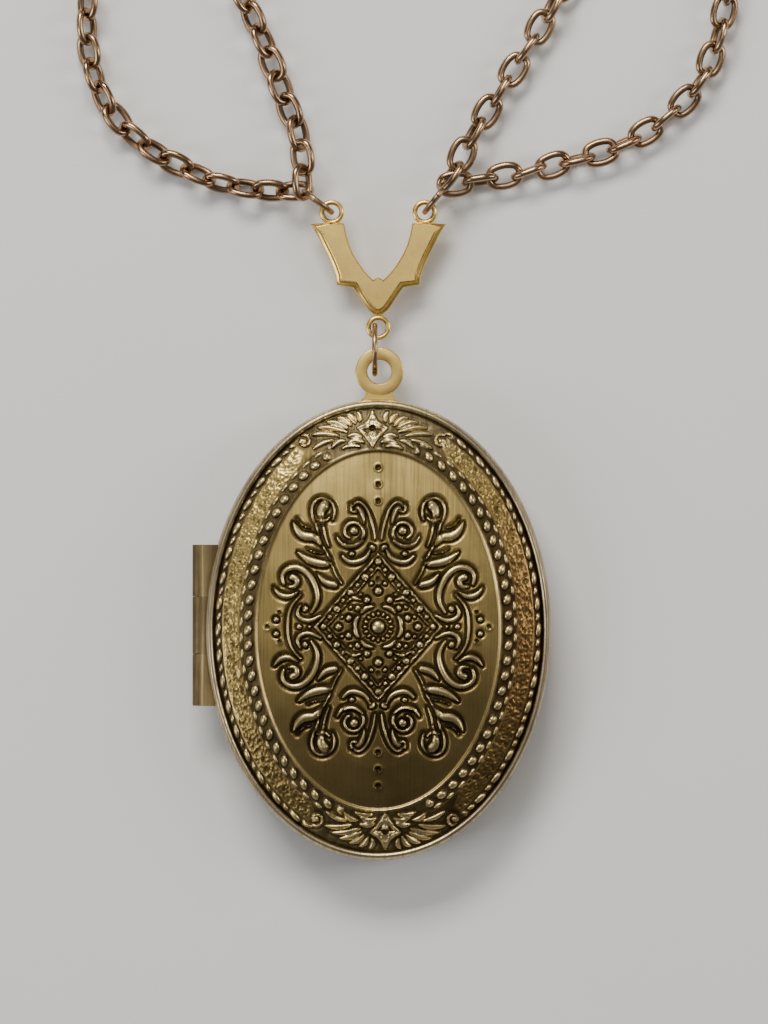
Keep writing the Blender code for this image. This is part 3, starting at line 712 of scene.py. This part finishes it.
def make_clasp():
    """A lobster clasp: rounded claw, two cheeks with the lever between them, rivet and tail."""
    body = Parts()
    turn = np.radians(np.linspace(192, 393, 46))
    reach = (CLAW_X, 0, 0) + CLAW_RADIUS * np.stack([np.cos(turn), np.sin(turn), 0 * turn], axis=1)
    width = np.interp(np.degrees(turn), (192, 220, 300, 360, 393), (0.56, 0.66, 0.66, 0.55, 0.36))
    body.add(*bar(reach, width, 18, squash=1.2), at=CLASP)
    cheek = circle_at((HUB_X, 0, 0), HUB_RADIUS, 56)[:, :2]
    for low, high, soft_low, soft_high in ((0.62, 0.93, 0.03, 0.2), (-0.93, -0.62, 0.2, 0.03)):
        levels = (
            (soft_low, low), (0, low + soft_low * 0.6), (0, high - soft_high * 0.6),
            (soft_high * 0.4, high - soft_high * 0.2), (soft_high, high),
        )
        body.add(*plate(cheek, levels), at=CLASP)
    turn = np.radians(np.linspace(180, 360, 28))
    filling = (HUB_X, 0) + (HUB_RADIUS - 0.04) * np.stack([np.cos(turn), np.sin(turn)], axis=1)
    body.add(*plate(filling, ((0, -0.7), (0, 0.7))), at=CLASP)
    tail = circle_at((TAIL_X, 0, 0), TAIL_RADIUS, 48)
    body.add(*bar(tail, 0.3, 16, True, 1.7), at=CLASP)
    body.finish("clasp_claw", "clasp", "chain", "clasp_body", 50)

    finger = through((
        (-0.75, 0.3), (-1.3, 1.0), (-1.85, 1.7), (-2.15, 2.3), (-1.6, 2.5), (-0.9, 2.05),
        (-0.2, 1.78), (1.0, 1.93), (2.9, 2.02), (4.05, 1.6), (4.7, 1.0), (4.6, 0.62),
        (3.9, 1.02), (2.8, 1.25), (1.3, 0.95), (0.75, 0.1), (0.35, -0.42), (-0.35, -0.42),
        (-0.68, 0.1),
    ), 3)[::-1]
    lever = Parts()
    levels = ((0.1, -0.52), (0, -0.44), (0, 0.0), (0.1, 0.08))
    lever.add(*plate(finger, levels), at=CLASP + PIVOT)
    lever.finish("clasp_lever_finger", "clasp", "clasp_lever", "clasp_lever")

    rivet = Parts()
    section = (
        (0.001, -0.94), (0.16, -0.94), (0.27, -0.90), (0.29, -0.84), (0.29, 0.84), (0.27, 0.90),
        (0.16, 0.94), (0.001, 0.94),
    )
    rivet.add(*lathe(CLASP + PIVOT, section, 24))
    rivet.finish("clasp_rivet_pin", "clasp", "chain", "clasp_rivet")


# ---------------------------------------------------------------- camera and light

def make_camera():
    """The photo's view: square on to the locket's face."""
    camera = bpy.data.cameras.new("camera")
    camera.sensor_width = CAMERA_SENSOR
    camera.lens = CAMERA_SENSOR * (CAMERA_HEIGHT - SUBJECT_LEVEL) / FRAME_HEIGHT
    camera.clip_start = 0.05
    camera.clip_end = 10
    eye = into_scene(bpy.data.objects.new("camera", camera))
    eye.location = (FRAME_CENTRE[0] * MM, FRAME_CENTRE[1] * MM, CAMERA_HEIGHT * MM)
    bpy.context.scene.camera = eye


LIGHT_AIM = (0, 0.01, 0)
FLOOR_DROP = 0.00002  # keeps the floor clear of what lies on the table


def area_light(name, place, size, power, colour):
    """A soft panel that faces the locket."""
    data = bpy.data.lights.new(name, "AREA")
    data.shape = "RECTANGLE"
    data.size, data.size_y = size
    data.energy = power
    data.color = colour
    lamp = into_scene(bpy.data.objects.new(name, data))
    lamp.location = place
    aim = Vector(LIGHT_AIM) - Vector(place)
    lamp.rotation_euler = aim.to_track_quat("-Z", "Y").to_euler()


def make_studio():
    """A pale floor, a dim surrounding and four soft panels, one large one overhead."""
    builder = bmesh.new()
    bmesh.ops.create_grid(builder, x_segments=8, y_segments=8, size=0.9)
    mesh = bpy.data.meshes.new("floor")
    builder.to_mesh(mesh)
    builder.free()
    floor = into_scene(bpy.data.objects.new("floor", mesh))
    floor.location = (0, 0.05, -FLOOR_DROP)
    mesh.materials.append(LOOKS["floor"])
    world = bpy.data.worlds.new("studio")
    world.use_nodes = True
    background = world.node_tree.nodes["Background"]
    background.inputs["Color"].default_value = (0.95, 0.97, 1.0, 1)
    background.inputs["Strength"].default_value = 0.16
    bpy.context.scene.world = world
    area_light("key", (-0.12, 0.42, 0.42), (0.34, 0.16), 3.4, (1.0, 0.96, 0.9))
    area_light("overhead", (-0.05, 0.33, 1.2), (0.7, 0.62), 1.7, (1.0, 0.97, 0.92))
    area_light("fill", (-0.45, -0.1, 0.35), (0.2, 0.35), 1.1, (0.95, 0.97, 1.0))
    area_light("rim", (0.45, 0.1, 0.3), (0.15, 0.3), 0.9, (1.0, 0.95, 0.9))


# ---------------------------------------------------------------- chased ornament

def rise(value, start, width):
    """0 up to the start and 1 from a width beyond it."""
    return np.clip((value - start) / width, 0, 1)


def fall(value, end, width):
    """1 up to a width before the end and 0 from the end on."""
    return np.clip((end - value) / width, 0, 1)


def bell(value, centre, width):
    """1 at the centre, fading out on both sides of it."""
    return np.exp(-(((value - centre) / width) ** 2))


def mixed(share, over, under):
    """One tone over another, by each point's share of it."""
    share = share[:, None]
    return share * np.asarray(over) + (1 - share) * np.asarray(under)


class Relief:
    """Height and patina over flat points, in millimetres, built up from strokes and dots."""

    def __init__(self, u, v):
        self.u = u
        self.v = v
        self.height = np.zeros_like(u)
        self.groove = np.zeros_like(u)
        self.dark = np.zeros_like(u)

    def near(self, low_u, high_u, low_v, high_v, margin):
        """Which points lie within a margin of a box."""
        return np.flatnonzero(
            (self.u > low_u - margin) & (self.u < high_u + margin)
            & (self.v > low_v - margin) & (self.v < high_v + margin)
        )

    def raise_where(self, chosen, distance, width, height, moat=0.34):
        """Rounds a ridge up inside `width`, with a dark chased line, `moat` wide, around it."""
        across = np.clip(distance / width, 0, 1)
        ridge = height * np.sqrt(np.clip(1 - across**2, 0, 1))
        self.height[chosen] = np.maximum(self.height[chosen], ridge)
        beyond = np.clip((distance - width) / moat, 0, 1)
        line = np.where(distance > width * 0.8, np.clip(1.7 - 1.7 * beyond, 0, 1), 0)
        self.groove[chosen] = np.maximum(self.groove[chosen], 0.12 * line * (ridge < 0.02))
        self.dark[chosen] = np.maximum(self.dark[chosen], line)
        core = distance < width * 0.72
        self.dark[chosen[core]] *= 0.12

    def stroke(self, points, start_width, end_width, height, middle_width=None, samples=28):
        """A ridge along a smooth curve through the points."""
        knots = np.array(points, dtype=float)
        if len(knots) > 2:
            length = np.linalg.norm(np.diff(knots, axis=0), axis=1).sum()
            line = smooth_route(points, max(0.08, length / samples))
        else:
            line = np.linspace(knots[0], knots[1], 8)
        low, high = line.min(0), line.max(0)
        widest = max(start_width, end_width, middle_width or 0)
        chosen = self.near(low[0], high[0], low[1], high[1], widest + 0.35)
        if not len(chosen):
            return
        p = np.stack([self.u[chosen], self.v[chosen]], axis=1)
        best = np.full(len(chosen), 99.0)
        best_width = np.full(len(chosen), start_width)
        for number in range(len(line) - 1):
            a, b = line[number], line[number + 1]
            span = b - a
            along = np.clip(((p - a) @ span) / max(span @ span, 1e-9), 0, 1)
            distance = np.linalg.norm(p - a - along[:, None] * span, axis=1)
            share = (number + along) / (len(line) - 1)
            width = start_width + (end_width - start_width) * share
            if middle_width:
                swell = middle_width - (start_width + end_width) / 2
                width = width + swell * 4 * share * (1 - share)
            closer = distance / width < best / best_width
            best = np.where(closer, distance, best)
            best_width = np.where(closer, width, best_width)
        self.raise_where(chosen, best, best_width, height)

    def spiral(self, centre, outer, inner, start, sweep, width, height):
        """A volute that winds inwards from `outer` to `inner`; angles in degrees."""
        turn = np.radians(np.linspace(start, start + sweep, 30))
        radius = np.linspace(outer, inner, 30)
        points = [
            (centre[0] + r * math.cos(t), centre[1] + r * math.sin(t)) for r, t in zip(radius, turn)
        ]
        self.stroke(points, width, width * 0.85, height, samples=60)

    def bead(self, u, v, radius, height=None):
        """A round raised dot."""
        chosen = self.near(u, u, v, v, radius + 0.35)
        distance = np.hypot(self.u[chosen] - u, self.v[chosen] - v)
        self.raise_where(chosen, distance, radius, height or radius * 0.85, 0.2)

    def pit(self, u, v, radius, depth):
        """A punched hole with a fine lip."""
        chosen = self.near(u, u, v, v, radius + 0.3)
        distance = np.hypot(self.u[chosen] - u, self.v[chosen] - v)
        inside = np.clip(1 - (distance / radius) ** 2, 0, 1)
        self.height[chosen] -= depth * np.sqrt(inside)
        self.height[chosen] += 0.04 * bell(distance, radius * 1.25, 0.1)
        self.dark[chosen] = np.maximum(self.dark[chosen], np.clip(inside * 2, 0, 1))


def centre_ornament(relief):
    """One quarter of the lozenge, scrolls and fronds; the relief's points are folded onto it."""
    r = relief
    # lozenge: two outlines, beads between them and a lattice of beads inside
    r.stroke(((0.0, LOZENGE[1]), (LOZENGE[0], 0.0)), 0.15, 0.15, 0.2)
    r.stroke(((0.0, 5.2), (4.5, 0.0)), 0.1, 0.1, 0.12)
    for u, v, radius in (
        (0.0, 5.62, 0.34), (0.62, 4.92, 0.22), (1.15, 4.3, 0.36), (1.8, 3.6, 0.24),
        (2.4, 2.95, 0.34), (3.0, 2.25, 0.24), (3.6, 1.55, 0.34), (4.2, 0.85, 0.24),
        (4.75, 0.0, 0.3), (0.0, 3.1, 0.36), (1.0, 2.3, 0.33), (0.6, 3.75, 0.2),
        (1.75, 1.6, 0.3), (2.55, 0.75, 0.3), (3.45, 0.0, 0.32), (1.55, 2.75, 0.2),
        (2.4, 1.7, 0.2), (3.15, 0.85, 0.18), (0.55, 6.8, 0.34),
    ):
        r.bead(u, v, radius)
    r.pit(0.0, 4.1, 0.3, 0.12)
    # boss with a ring of petals
    r.bead(0, 0, 0.62, 0.45)
    for number in range(5):
        turn = math.radians(number * 22.5)
        r.bead(1.12 * math.sin(turn), 1.12 * math.cos(turn), 0.2)
    r.stroke(((0.5, 1.75), (1.05, 1.62), (1.5, 1.2)), 0.12, 0.12, 0.24, 0.22)
    r.stroke(((1.7, 0.9), (1.95, 0.5), (1.98, 0.0)), 0.12, 0.16, 0.24, 0.22)
    r.stroke(((1.5, 2.35), (2.1, 2.5), (2.7, 2.2)), 0.1, 0.1, 0.2, 0.18)
    # lyre hook, volute and the small hook under it
    r.stroke(
        ((0.28, 7.6), (0.46, 8.7), (0.8, 9.7), (1.2, 10.4), (1.7, 10.75), (2.2, 10.45)),
        0.1, 0.16, 0.26, 0.17,
    )
    r.stroke(((1.25, 8.9), (1.3, 9.6), (1.62, 10.12), (1.75, 10.2)), 0.1, 0.34, 0.34, 0.24)
    r.stroke(((2.35, 10.5), (2.25, 10.0), (1.95, 9.95)), 0.13, 0.13, 0.24)
    r.spiral((2.25, 8.2), 1.2, 0.55, -60, -360, 0.19, 0.28)
    r.bead(2.1, 8.35, 0.42, 0.36)
    r.stroke(((1.35, 7.45), (2.2, 6.95), (3.1, 7.15), (3.55, 7.75)), 0.1, 0.1, 0.24, 0.2)
    r.stroke(
        ((0.75, 6.6), (1.05, 6.05), (1.7, 5.68), (2.5, 5.65), (3.05, 6.1)),
        0.12, 0.15, 0.26, 0.25,
    )
    r.bead(2.3, 6.32, 0.26)
    # frond with a curled head and three leaves
    r.stroke(
        ((3.95, 9.3), (3.8, 10.1), (4.2, 10.85), (4.95, 11.1), (5.6, 10.7), (5.75, 9.9),
         (5.5, 9.0), (5.2, 8.2)), 0.13, 0.13, 0.24, 0.16,
    )
    r.stroke(((4.68, 10.5), (4.95, 10.1), (4.95, 9.5), (4.8, 8.9)), 0.48, 0.2, 0.42, 0.36)
    r.stroke(((4.25, 9.45), (4.75, 9.15), (5.3, 9.3)), 0.13, 0.1, 0.22, 0.14)
    r.stroke(((4.75, 8.7), (4.6, 7.9), (4.3, 7.0)), 0.15, 0.1, 0.2)
    r.stroke(((5.35, 8.9), (5.15, 7.9), (4.7, 6.8), (4.15, 5.8)), 0.13, 0.12, 0.22)
    r.stroke(
        ((5.0, 7.15), (5.55, 7.75), (6.3, 7.85), (6.9, 8.25), (7.35, 9.05)), 0.16, 0.08, 0.36, 0.42,
    )
    r.stroke(((5.9, 8.55), (6.5, 8.75), (7.0, 9.3)), 0.06, 0.06, 0.14)
    r.stroke(((4.25, 5.45), (5.0, 5.5), (5.9, 5.75), (6.95, 6.45)), 0.28, 0.08, 0.36, 0.38)
    r.stroke(((4.75, 6.35), (5.5, 6.45), (6.1, 6.7)), 0.06, 0.06, 0.14)
    r.stroke(((3.75, 3.65), (4.6, 3.9), (5.25, 4.6)), 0.3, 0.08, 0.34, 0.3)
    r.stroke(((3.2, 3.75), (3.75, 4.7), (4.05, 5.5)), 0.09, 0.1, 0.18)
    # big C scroll, its tail and the outer bracket
    r.stroke(
        ((5.8, 1.25), (5.3, 2.2), (5.4, 3.4), (6.0, 4.5), (6.85, 5.1), (7.75, 5.05),
         (8.3, 4.45), (8.2, 3.75)), 0.14, 0.17, 0.34, 0.3,
    )
    r.stroke(((7.45, 4.3), (7.05, 4.05), (7.2, 3.55), (7.75, 3.5)), 0.34, 0.15, 0.36, 0.26)
    r.stroke(((9.0, 3.35), (8.5, 2.8), (7.7, 2.65), (7.0, 3.0)), 0.1, 0.1, 0.32, 0.27)
    r.stroke(((6.75, 2.75), (7.35, 2.05), (7.75, 1.1), (7.85, 0.0)), 0.12, 0.17, 0.26)
    r.stroke(((5.0, 0.95), (5.7, 0.62), (6.5, 0.62), (7.0, 1.15), (6.75, 1.8)), 0.13, 0.14, 0.28, 0.22)
    r.bead(6.35, 1.55, 0.32)
    r.bead(6.85, 0.0, 0.27)
    r.bead(5.95, 0.0, 0.2)
    r.bead(8.85, 0.62, 0.27)
    r.pit(8.55, 1.25, 0.2, 0.16)
    r.pit(9.6, 0.0, 0.22, 0.16)
    for v in (10.9, 12.35, 13.8):
        r.pit(0.0, v, 0.26, 0.2)


def end_motif(relief):
    """Half of the star with its fans and rosettes; u is folded about the star's middle."""
    r = relief
    star = (
        ((0.0, 18.95), (0.32, 18.15), (1.25, 17.55)), ((1.25, 17.55), (0.5, 16.85), (0.0, 15.95)),
    )
    for points in star:
        r.stroke(points, 0.12, 0.12, 0.24, 0.2)
    r.stroke(((0.0, 18.4), (0.0, 17.95)), 0.3, 0.36, 0.2)
    r.stroke(((0.0, 17.1), (0.0, 16.6)), 0.36, 0.26, 0.2)
    r.stroke(((0.35, 17.75), (0.8, 17.55)), 0.3, 0.16, 0.2)
    r.pit(0.0, 17.52, 0.3, 0.22)
    for points, width in (
        (((1.15, 18.1), (1.1, 18.6), (1.35, 18.95)), 0.24),
        (((1.5, 17.95), (1.8, 18.5), (2.2, 18.75)), 0.27),
        (((1.85, 17.75), (2.4, 18.25), (3.05, 18.45)), 0.27),
        (((2.1, 17.5), (3.0, 17.95), (3.95, 18.05)), 0.27),
        (((2.2, 17.2), (3.4, 17.55), (4.7, 17.55)), 0.25),
        (((2.9, 16.85), (4.0, 17.1), (5.2, 16.95)), 0.26),
        (((0.95, 16.75), (1.5, 16.9), (2.2, 16.8)), 0.26),
        (((0.75, 16.3), (1.4, 16.5), (2.1, 16.25)), 0.24),
        (((1.1, 15.95), (1.9, 16.05), (2.6, 15.75)), 0.22),
        (((2.4, 16.45), (3.0, 16.35), (3.5, 15.85)), 0.26),
    ):
        r.stroke(points, 0.09, 0.08, 0.24, width)
    r.spiral((5.95, 16.4), 0.62, 0.25, 60, 330, 0.15, 0.24)
    r.bead(5.95, 16.4, 0.22)
    r.stroke(((6.4, 17.05), (7.0, 16.85), (7.6, 16.2)), 0.1, 0.08, 0.22, 0.2)
    r.stroke(((3.4, 16.5), (4.2, 16.3), (5.1, 15.75)), 0.1, 0.1, 0.22, 0.22)


def ellipse_share(turn, half_width, half_height):
    """How far round an ellipse each angle is, as a share of the whole length."""
    fine = np.linspace(0, 2 * math.pi, 4001)
    speed = np.hypot(half_width * np.sin(fine), half_height * np.cos(fine))
    travelled = np.concatenate([[0], np.cumsum((speed[1:] + speed[:-1]) / 2)])
    return np.interp(turn, fine, travelled / travelled[-1])


def grain_field(x, y, size, random):
    """Smooth random grain, about one unit high, with lumps of the given size."""
    table = random.normal(0, 1, (256, 256))
    gx, gy = x / size, y / size
    ix, iy = np.floor(gx).astype(int), np.floor(gy).astype(int)
    fx, fy = gx - ix, gy - iy
    fx, fy = fx * fx * (3 - 2 * fx), fy * fy * (3 - 2 * fy)
    at = table[ix % 256, iy % 256] * (1 - fx) + table[(ix + 1) % 256, iy % 256] * fx
    above = table[ix % 256, (iy + 1) % 256] * (1 - fx) + table[(ix + 1) % 256, (iy + 1) % 256] * fx
    return at * (1 - fy) + above * fy


def motif_share(x, y, inset):
    """How much of a border point belongs to the motifs at the two ends."""
    share = []
    for middle, side in END_MOTIFS:
        across = np.abs(x - middle)
        reach = 6.2 + 0.8 * np.abs(inset - 2.2)
        share.append(fall(across, reach, 0.35) * (y * side > 0))
    return np.maximum(*share)


def border(inset, turn, x, y, random):
    """Height, patina and raised tops of the border between the rim and the field; on the front cover
    the raised tops get polish and a painted highlight.
    """
    height = np.zeros_like(inset)
    dark = np.zeros_like(inset)
    # tops: the raised tops, which front_relief gives polish and a painted highlight.
    tops = np.zeros_like(inset)
    motif = motif_share(x, y, inset)
    plain = 1 - motif
    middle = np.where(y > 0, END_MOTIFS[0][0], END_MOTIFS[1][0])
    beads = 1 - fall(np.abs(x - middle), 3.9, 0.4)

    def dip(centre, width, amount, shade):
        nonlocal height, dark
        shape = bell(inset, centre, width)
        height += amount * shape
        dark = np.maximum(dark, shade * shape)

    def row(centre, half_axes, count, long, wide, amount, slant, share, shift=0.0):
        """A row of raised drops, each long along the border and wide across it."""
        nonlocal height, dark, tops
        pitch = sum(half_axes) * math.pi * 1.006 / count
        around = ellipse_share(turn, *half_axes)
        step = (around * count + slant * (inset - centre) / pitch + 0.5 + shift) % 1 - 0.5
        away = np.hypot(step * pitch / long, (inset - centre) / wide)
        height += amount * np.sqrt(np.clip(1 - away**2, 0, 1)) * share
        raised = fall(away, 0.96, 0.2) * share
        dark *= 1 - raised
        tops = np.maximum(tops, raised)

    def ground(low, high, share):
        nonlocal height, dark
        within = rise(inset, low, 0.08) * fall(inset, high, 0.08) * share
        dark = np.maximum(dark, 0.95 * within)
        height -= 0.05 * within

    ground(2.9, 4.28, beads)
    ground(0.66, 1.48, plain)
    dip(0.76, 0.10, -0.12, 1.0)
    dip(4.40, 0.09, 0.10, 0.0)
    row(3.68, (11.3, 16.3), 66, 0.47, 0.38, 0.36, 0.3, beads)
    row(3.10, (11.9, 16.9), 66, 0.42, 0.15, 0.14, 0.0, beads, 0.5)
    row(1.08, (13.9, 18.9), 46, 0.62, 0.29, 0.30, 0.6, plain)
    row(1.12, (13.9, 18.9), 46, 0.34, 0.20, 0.20, 0.6, plain, 0.5)

    band = rise(inset, 1.5, 0.1) * fall(inset, 2.9, 0.1) * plain
    grain = grain_field(x, y, 0.13, random) + 0.6 * grain_field(y, x, 0.3, random)
    height += band * grain * 0.03
    dark = np.maximum(dark, band * np.clip(0.22 - grain * 0.5, 0, 0.85))
    for middle, side in END_MOTIFS:
        chosen = np.flatnonzero((motif > 0) & (y * side > 0) & (inset > 0.8) & (inset < 4.4))
        part = Relief(np.abs(x[chosen] - middle), y[chosen] * side)
        end_motif(part)
        share = motif[chosen] * fall(inset[chosen], 4.3, 0.15)
        height[chosen] += share * (part.height - part.groove * 0.6)
        low = fall(part.height, 0.1, 0.06)
        dark[chosen] = np.maximum(dark[chosen] * low, share * low * 0.9 * (1 - tops[chosen]))
        tops[chosen] = np.maximum(tops[chosen], share * (1 - low))
    return height, dark, tops


FRONT_PROFILE = (
    (0.0, 5.05), (0.05, 5.30), (0.15, 5.55), (0.3, 5.70), (0.45, 5.72), (0.6, 5.64), (0.75, 5.50),
    (0.95, 5.62), (1.8, 5.94), (2.6, 6.22), (3.4, 6.46), (4.1, 6.66), (4.3, 6.72), (4.6, 6.68),
    (5.4, 6.79), (8.0, 7.08), (11.0, 7.30), (13.0, 7.38), (15.0, 7.40),
)
FRONT_INSIDE = (
    (12.0, 7.0), (8.0, 6.7), (4.2, 6.25), (1.0, 5.35), (0.5, 5.15), (0.5, 3.82),
)
BACK_PROFILE = (
    (0.0, 2.40), (0.06, 2.05), (0.2, 1.82), (0.4, 1.70), (0.6, 1.70), (0.8, 1.76),
    (0.95, 1.84), (1.15, 1.66), (2.0, 1.25), (2.8, 0.86), (3.8, 0.46), (4.6, 0.20),
    (5.4, 0.03), (5.8, 0.0), (15.0, 0.0),
)
BACK_INSIDE = ((5.8, 0.5), (4.2, 1.05), (1.0, 2.15), (0.5, 2.35), (0.5, 3.68))


def oval_rows(insets, levels, turn):
    """Rows of points round the locket, one row for each inset."""
    x = (HALF_WIDTH - insets)[:, None] * np.cos(turn)[None, :]
    y = (HALF_HEIGHT - insets)[:, None] * np.sin(turn)[None, :]
    z = np.broadcast_to(np.asarray(levels)[:, None], x.shape)
    return np.stack([x, y, z], axis=-1)


BARREL_CLEARANCE = 0.13
BARREL_END_CLEARANCE = 0.15


def clear_of_barrel(points):
    """Moves a shell's points out of the room that the hinge barrel turns in."""
    room = KNUCKLE_RADIUS + BARREL_CLEARANCE
    dx = points[:, 0] - HINGE[0]
    dz = points[:, 2] - HINGE[1]
    distance = np.hypot(dx, dz)
    inside = (
        (distance < room)
        & (points[:, 1] > KNUCKLE_SPANS[0][0] - BARREL_END_CLEARANCE)
        & (points[:, 1] < KNUCKLE_SPANS[-1][1] + BARREL_END_CLEARANCE)
    )
    scale = room / np.maximum(distance[inside], 1e-6)
    points[inside, 0] = HINGE[0] + dx[inside] * scale
    points[inside, 2] = HINGE[1] + dz[inside] * scale
    return points


COVER_TONE = (0.52, 0.39, 0.17)
EDGE_TONE = (0.50, 0.37, 0.17)
LINING_TONE = (0.66, 0.50, 0.23)
MIDDLE = 14.99  # the last inset, just short of the locket's middle


def shell(name, outside, inside, edge, look, body, node, relief, around=960):
    """A stamped cover: a fine outer skin, a turned-in edge and a plain inner skin."""
    turn = np.linspace(0, 2 * math.pi, around, endpoint=False)
    outline = np.array(outside)
    fine = np.concatenate([
        np.linspace(0, 0.9, 18, endpoint=False), np.arange(0.9, 4.8, 0.06),
        np.arange(4.8, MIDDLE, 0.075), [MIDDLE],
    ])
    rows = oval_rows(fine, np.interp(fine, outline[:, 0], outline[:, 1]), turn)
    tone = np.full((*rows.shape[:2], 3), COVER_TONE)
    extra, patina, tone = relief(rows, fine, turn, tone)
    rows[..., 2] += extra
    edge_levels = np.linspace(outline[0, 1], edge, 10)[1:]
    wall = oval_rows(np.zeros(len(edge_levels)), edge_levels, turn)
    inner = np.array(inside)[::-1]
    steps = np.linspace(inner[0, 1], inner[1, 1], 5)[1:-1]
    lining = oval_rows(
        np.concatenate([np.full(len(steps) + 1, inner[0, 0]), inner[1:, 0], [MIDDLE]]),
        np.concatenate([inner[:1, 1], steps, inner[1:, 1], inner[-1:, 1]]), turn,
    )
    points = clear_of_barrel(np.concatenate([rows[::-1], wall, lining]).reshape(-1, 3))
    colours = np.concatenate([
        tone[::-1], np.full(wall.shape, EDGE_TONE), np.full(lining.shape, LINING_TONE),
    ]).reshape(-1, 3)
    shade = np.concatenate([
        patina[::-1], np.full(wall.shape[:2], 0.25), np.full(lining.shape[:2], 0.18),
    ]).reshape(-1)
    faces = grid_faces(len(points) // around, around)
    if edge > outline[0, 1]:
        faces = [face[::-1] for face in faces]
    place_mesh(name, points, faces, look, body, node, shade, 50, colours)


def front_relief(rows, insets, turn, tone):
    """Height, patina and tone of the ornament over the front cover; the tone holds painted light and
    painted highlights.
    """
    random = np.random.default_rng(5)
    shape = rows.shape[:2]
    x, y = rows[..., 0].reshape(-1), rows[..., 1].reshape(-1)
    inset = np.broadcast_to(insets[:, None], shape).reshape(-1)
    angle = np.broadcast_to(turn[None, :], shape).reshape(-1)
    relief = Relief(np.abs(x), np.abs(y - ORNAMENT_CENTRE))
    centre_ornament(relief)
    field = rise(inset, 4.5, 0.15)
    low = np.flatnonzero(inset < 4.6)
    rim_height, rim_dark, rim_tops = border(inset[low], angle[low], x[low], y[low], random)
    height = (relief.height - relief.groove) * field
    dark = relief.dark * field
    height[low] += rim_height
    dark[low] = np.maximum(dark[low], rim_dark)
    dark = np.maximum(dark, 0.5 * bell(inset, 4.62, 0.1))
    flat = relief.height < 0.05
    lozenge = fall(relief.v + relief.u * LOZENGE[1] / LOZENGE[0], LOZENGE[1] - 0.25, 0.6)
    dark = np.maximum(dark, 0.62 * lozenge * flat)
    spread = np.hypot(relief.u / 8.6, relief.v / 11.4)
    dark = np.maximum(dark, fall(spread, 1.0, 0.25) * 0.30 * flat * field)
    dark = np.clip(dark, 0, 1) * 0.95

    # Painted light: the field and the stippled band are brighter towards the top and darker towards
    # the bottom, as if lit from above. Warm on the right. Pale round the end motifs, paler at the top
    # end (partly painted light), and pale on high metal: polish with a painted highlight.
    tone = tone.reshape(-1, 3)
    # Painted light: this share rises from the bottom to the top, for light falling from above.
    top = rise(y, -12, 28)
    tone = mixed(field, mixed(top, (0.68, 0.50, 0.175), (0.25, 0.175, 0.065)), tone)
    band = rise(inset, 1.4, 0.2) * fall(inset, 3.1, 0.2)
    tone = mixed(band, mixed(top, (0.66, 0.49, 0.165), (0.31, 0.215, 0.075)), tone)
    warm = rise(x, 4, 8) * np.clip(inset / 0.3, 0.35, 1) * fall(inset, 4.4, 0.3)
    warm = warm * np.clip(1.25 - np.abs(y) / 18, 0, 1) * 0.8
    tone = mixed(warm, (0.25, 0.135, 0.048), tone)
    tone = mixed(fall(inset, 0.7, 0.1) * 0.8, (0.50, 0.41, 0.27), tone)
    # Pale round the end motifs, more so at the top end: that part is painted light.
    ends = rise(np.abs(y), 14.8, 1.5) * fall(np.abs(x), 7, 2)
    pale = ends * fall(inset, 4.4, 0.2) * (0.25 + 0.5 * top)
    tone = mixed(pale, (0.92, 0.76, 0.40), tone)
    # Raised metal: partly real polish on rubbed high points, partly a painted highlight, made stronger
    # towards the top.
    polish_and_highlight = rise(relief.height, 0.1, 0.12) * field
    polish_and_highlight[low] = np.maximum(polish_and_highlight[low], rim_tops)
    tone = mixed(polish_and_highlight * (0.54 + 0.15 * top), (0.96, 0.77, 0.38), tone)
    return height.reshape(shape), dark.reshape(shape), tone.reshape(*shape, 3)


def back_relief(rows, insets, turn, tone):
    """A plain back cover, with a little oxide in its two folds."""
    inset = np.broadcast_to(insets[:, None], rows.shape[:2])
    dark = 0.7 * bell(inset, 0.95, 0.15) + 0.35 * bell(inset, 4.6, 0.3)
    return 0 * inset, np.clip(dark, 0, 1), tone


def make_covers():
    """The embossed lid and the plain back cover, each with its turned-in edge and lining."""
    shell(
        "front_cover_embossed", FRONT_PROFILE, FRONT_INSIDE, 3.82, "front", "lid",
        "front_cover", front_relief,
    )
    shell(
        "back_cover_shell", BACK_PROFILE, BACK_INSIDE, 3.68, "back", "locket",
        "back_cover", back_relief, 360,
    )


def make_frames():
    """The oval frames that hold the windows, with a soft bead and a pressed line."""
    section = (
        (1.10, 2.35), (1.10, 3.22), (1.13, 3.28), (1.20, 3.30), (1.38, 3.30), (1.46, 3.25),
        (1.56, 3.21), (1.66, 3.25), (1.78, 3.30), (2.10, 3.31), (2.50, 3.30), (2.74, 3.26),
        (2.86, 3.17), (2.90, 3.06), (2.90, 2.97), (2.86, 2.95), (1.45, 2.95), (1.45, 2.35),
    )
    steps = 240
    turn = np.linspace(0, 2 * math.pi, steps, endpoint=False)
    insets, levels = np.array(section).T
    patina = np.where((levels < 3.29) & (insets > 1.4) & (levels > 3.2), 0.3, 0.0)
    for name, body, node, front in (
        ("inner_frame_back", "locket", "photo_frame_back", False),
        ("inner_frame_front", "lid", "photo_frame_front", True),
    ):
        rows = oval_rows(insets, 2 * HINGE[1] - levels if front else levels, turn)
        faces = grid_faces(len(section), steps, True)
        if not front:
            faces = [face[::-1] for face in faces]
        place_mesh(
            name, rows.reshape(-1, 3), faces, "frame", body, node,
            np.repeat(patina, steps), 35,
        )


make_camera()
make_chains()
make_rings()
make_bail()
make_hinge()
make_connector()
make_clasp()
make_covers()
make_frames()
make_studio()

for node, look in (
    ("hinge_pin", "bright"), ("window_back", "film"), ("window_front", "film"),
    ("photo_card_back", "card"), ("photo_card_front", "card"),
    ("catch_tongue", "frame"), ("clasp_spring", "steel"),
):
    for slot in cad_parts[node].material_slots:
        slot.material = LOOKS[look]
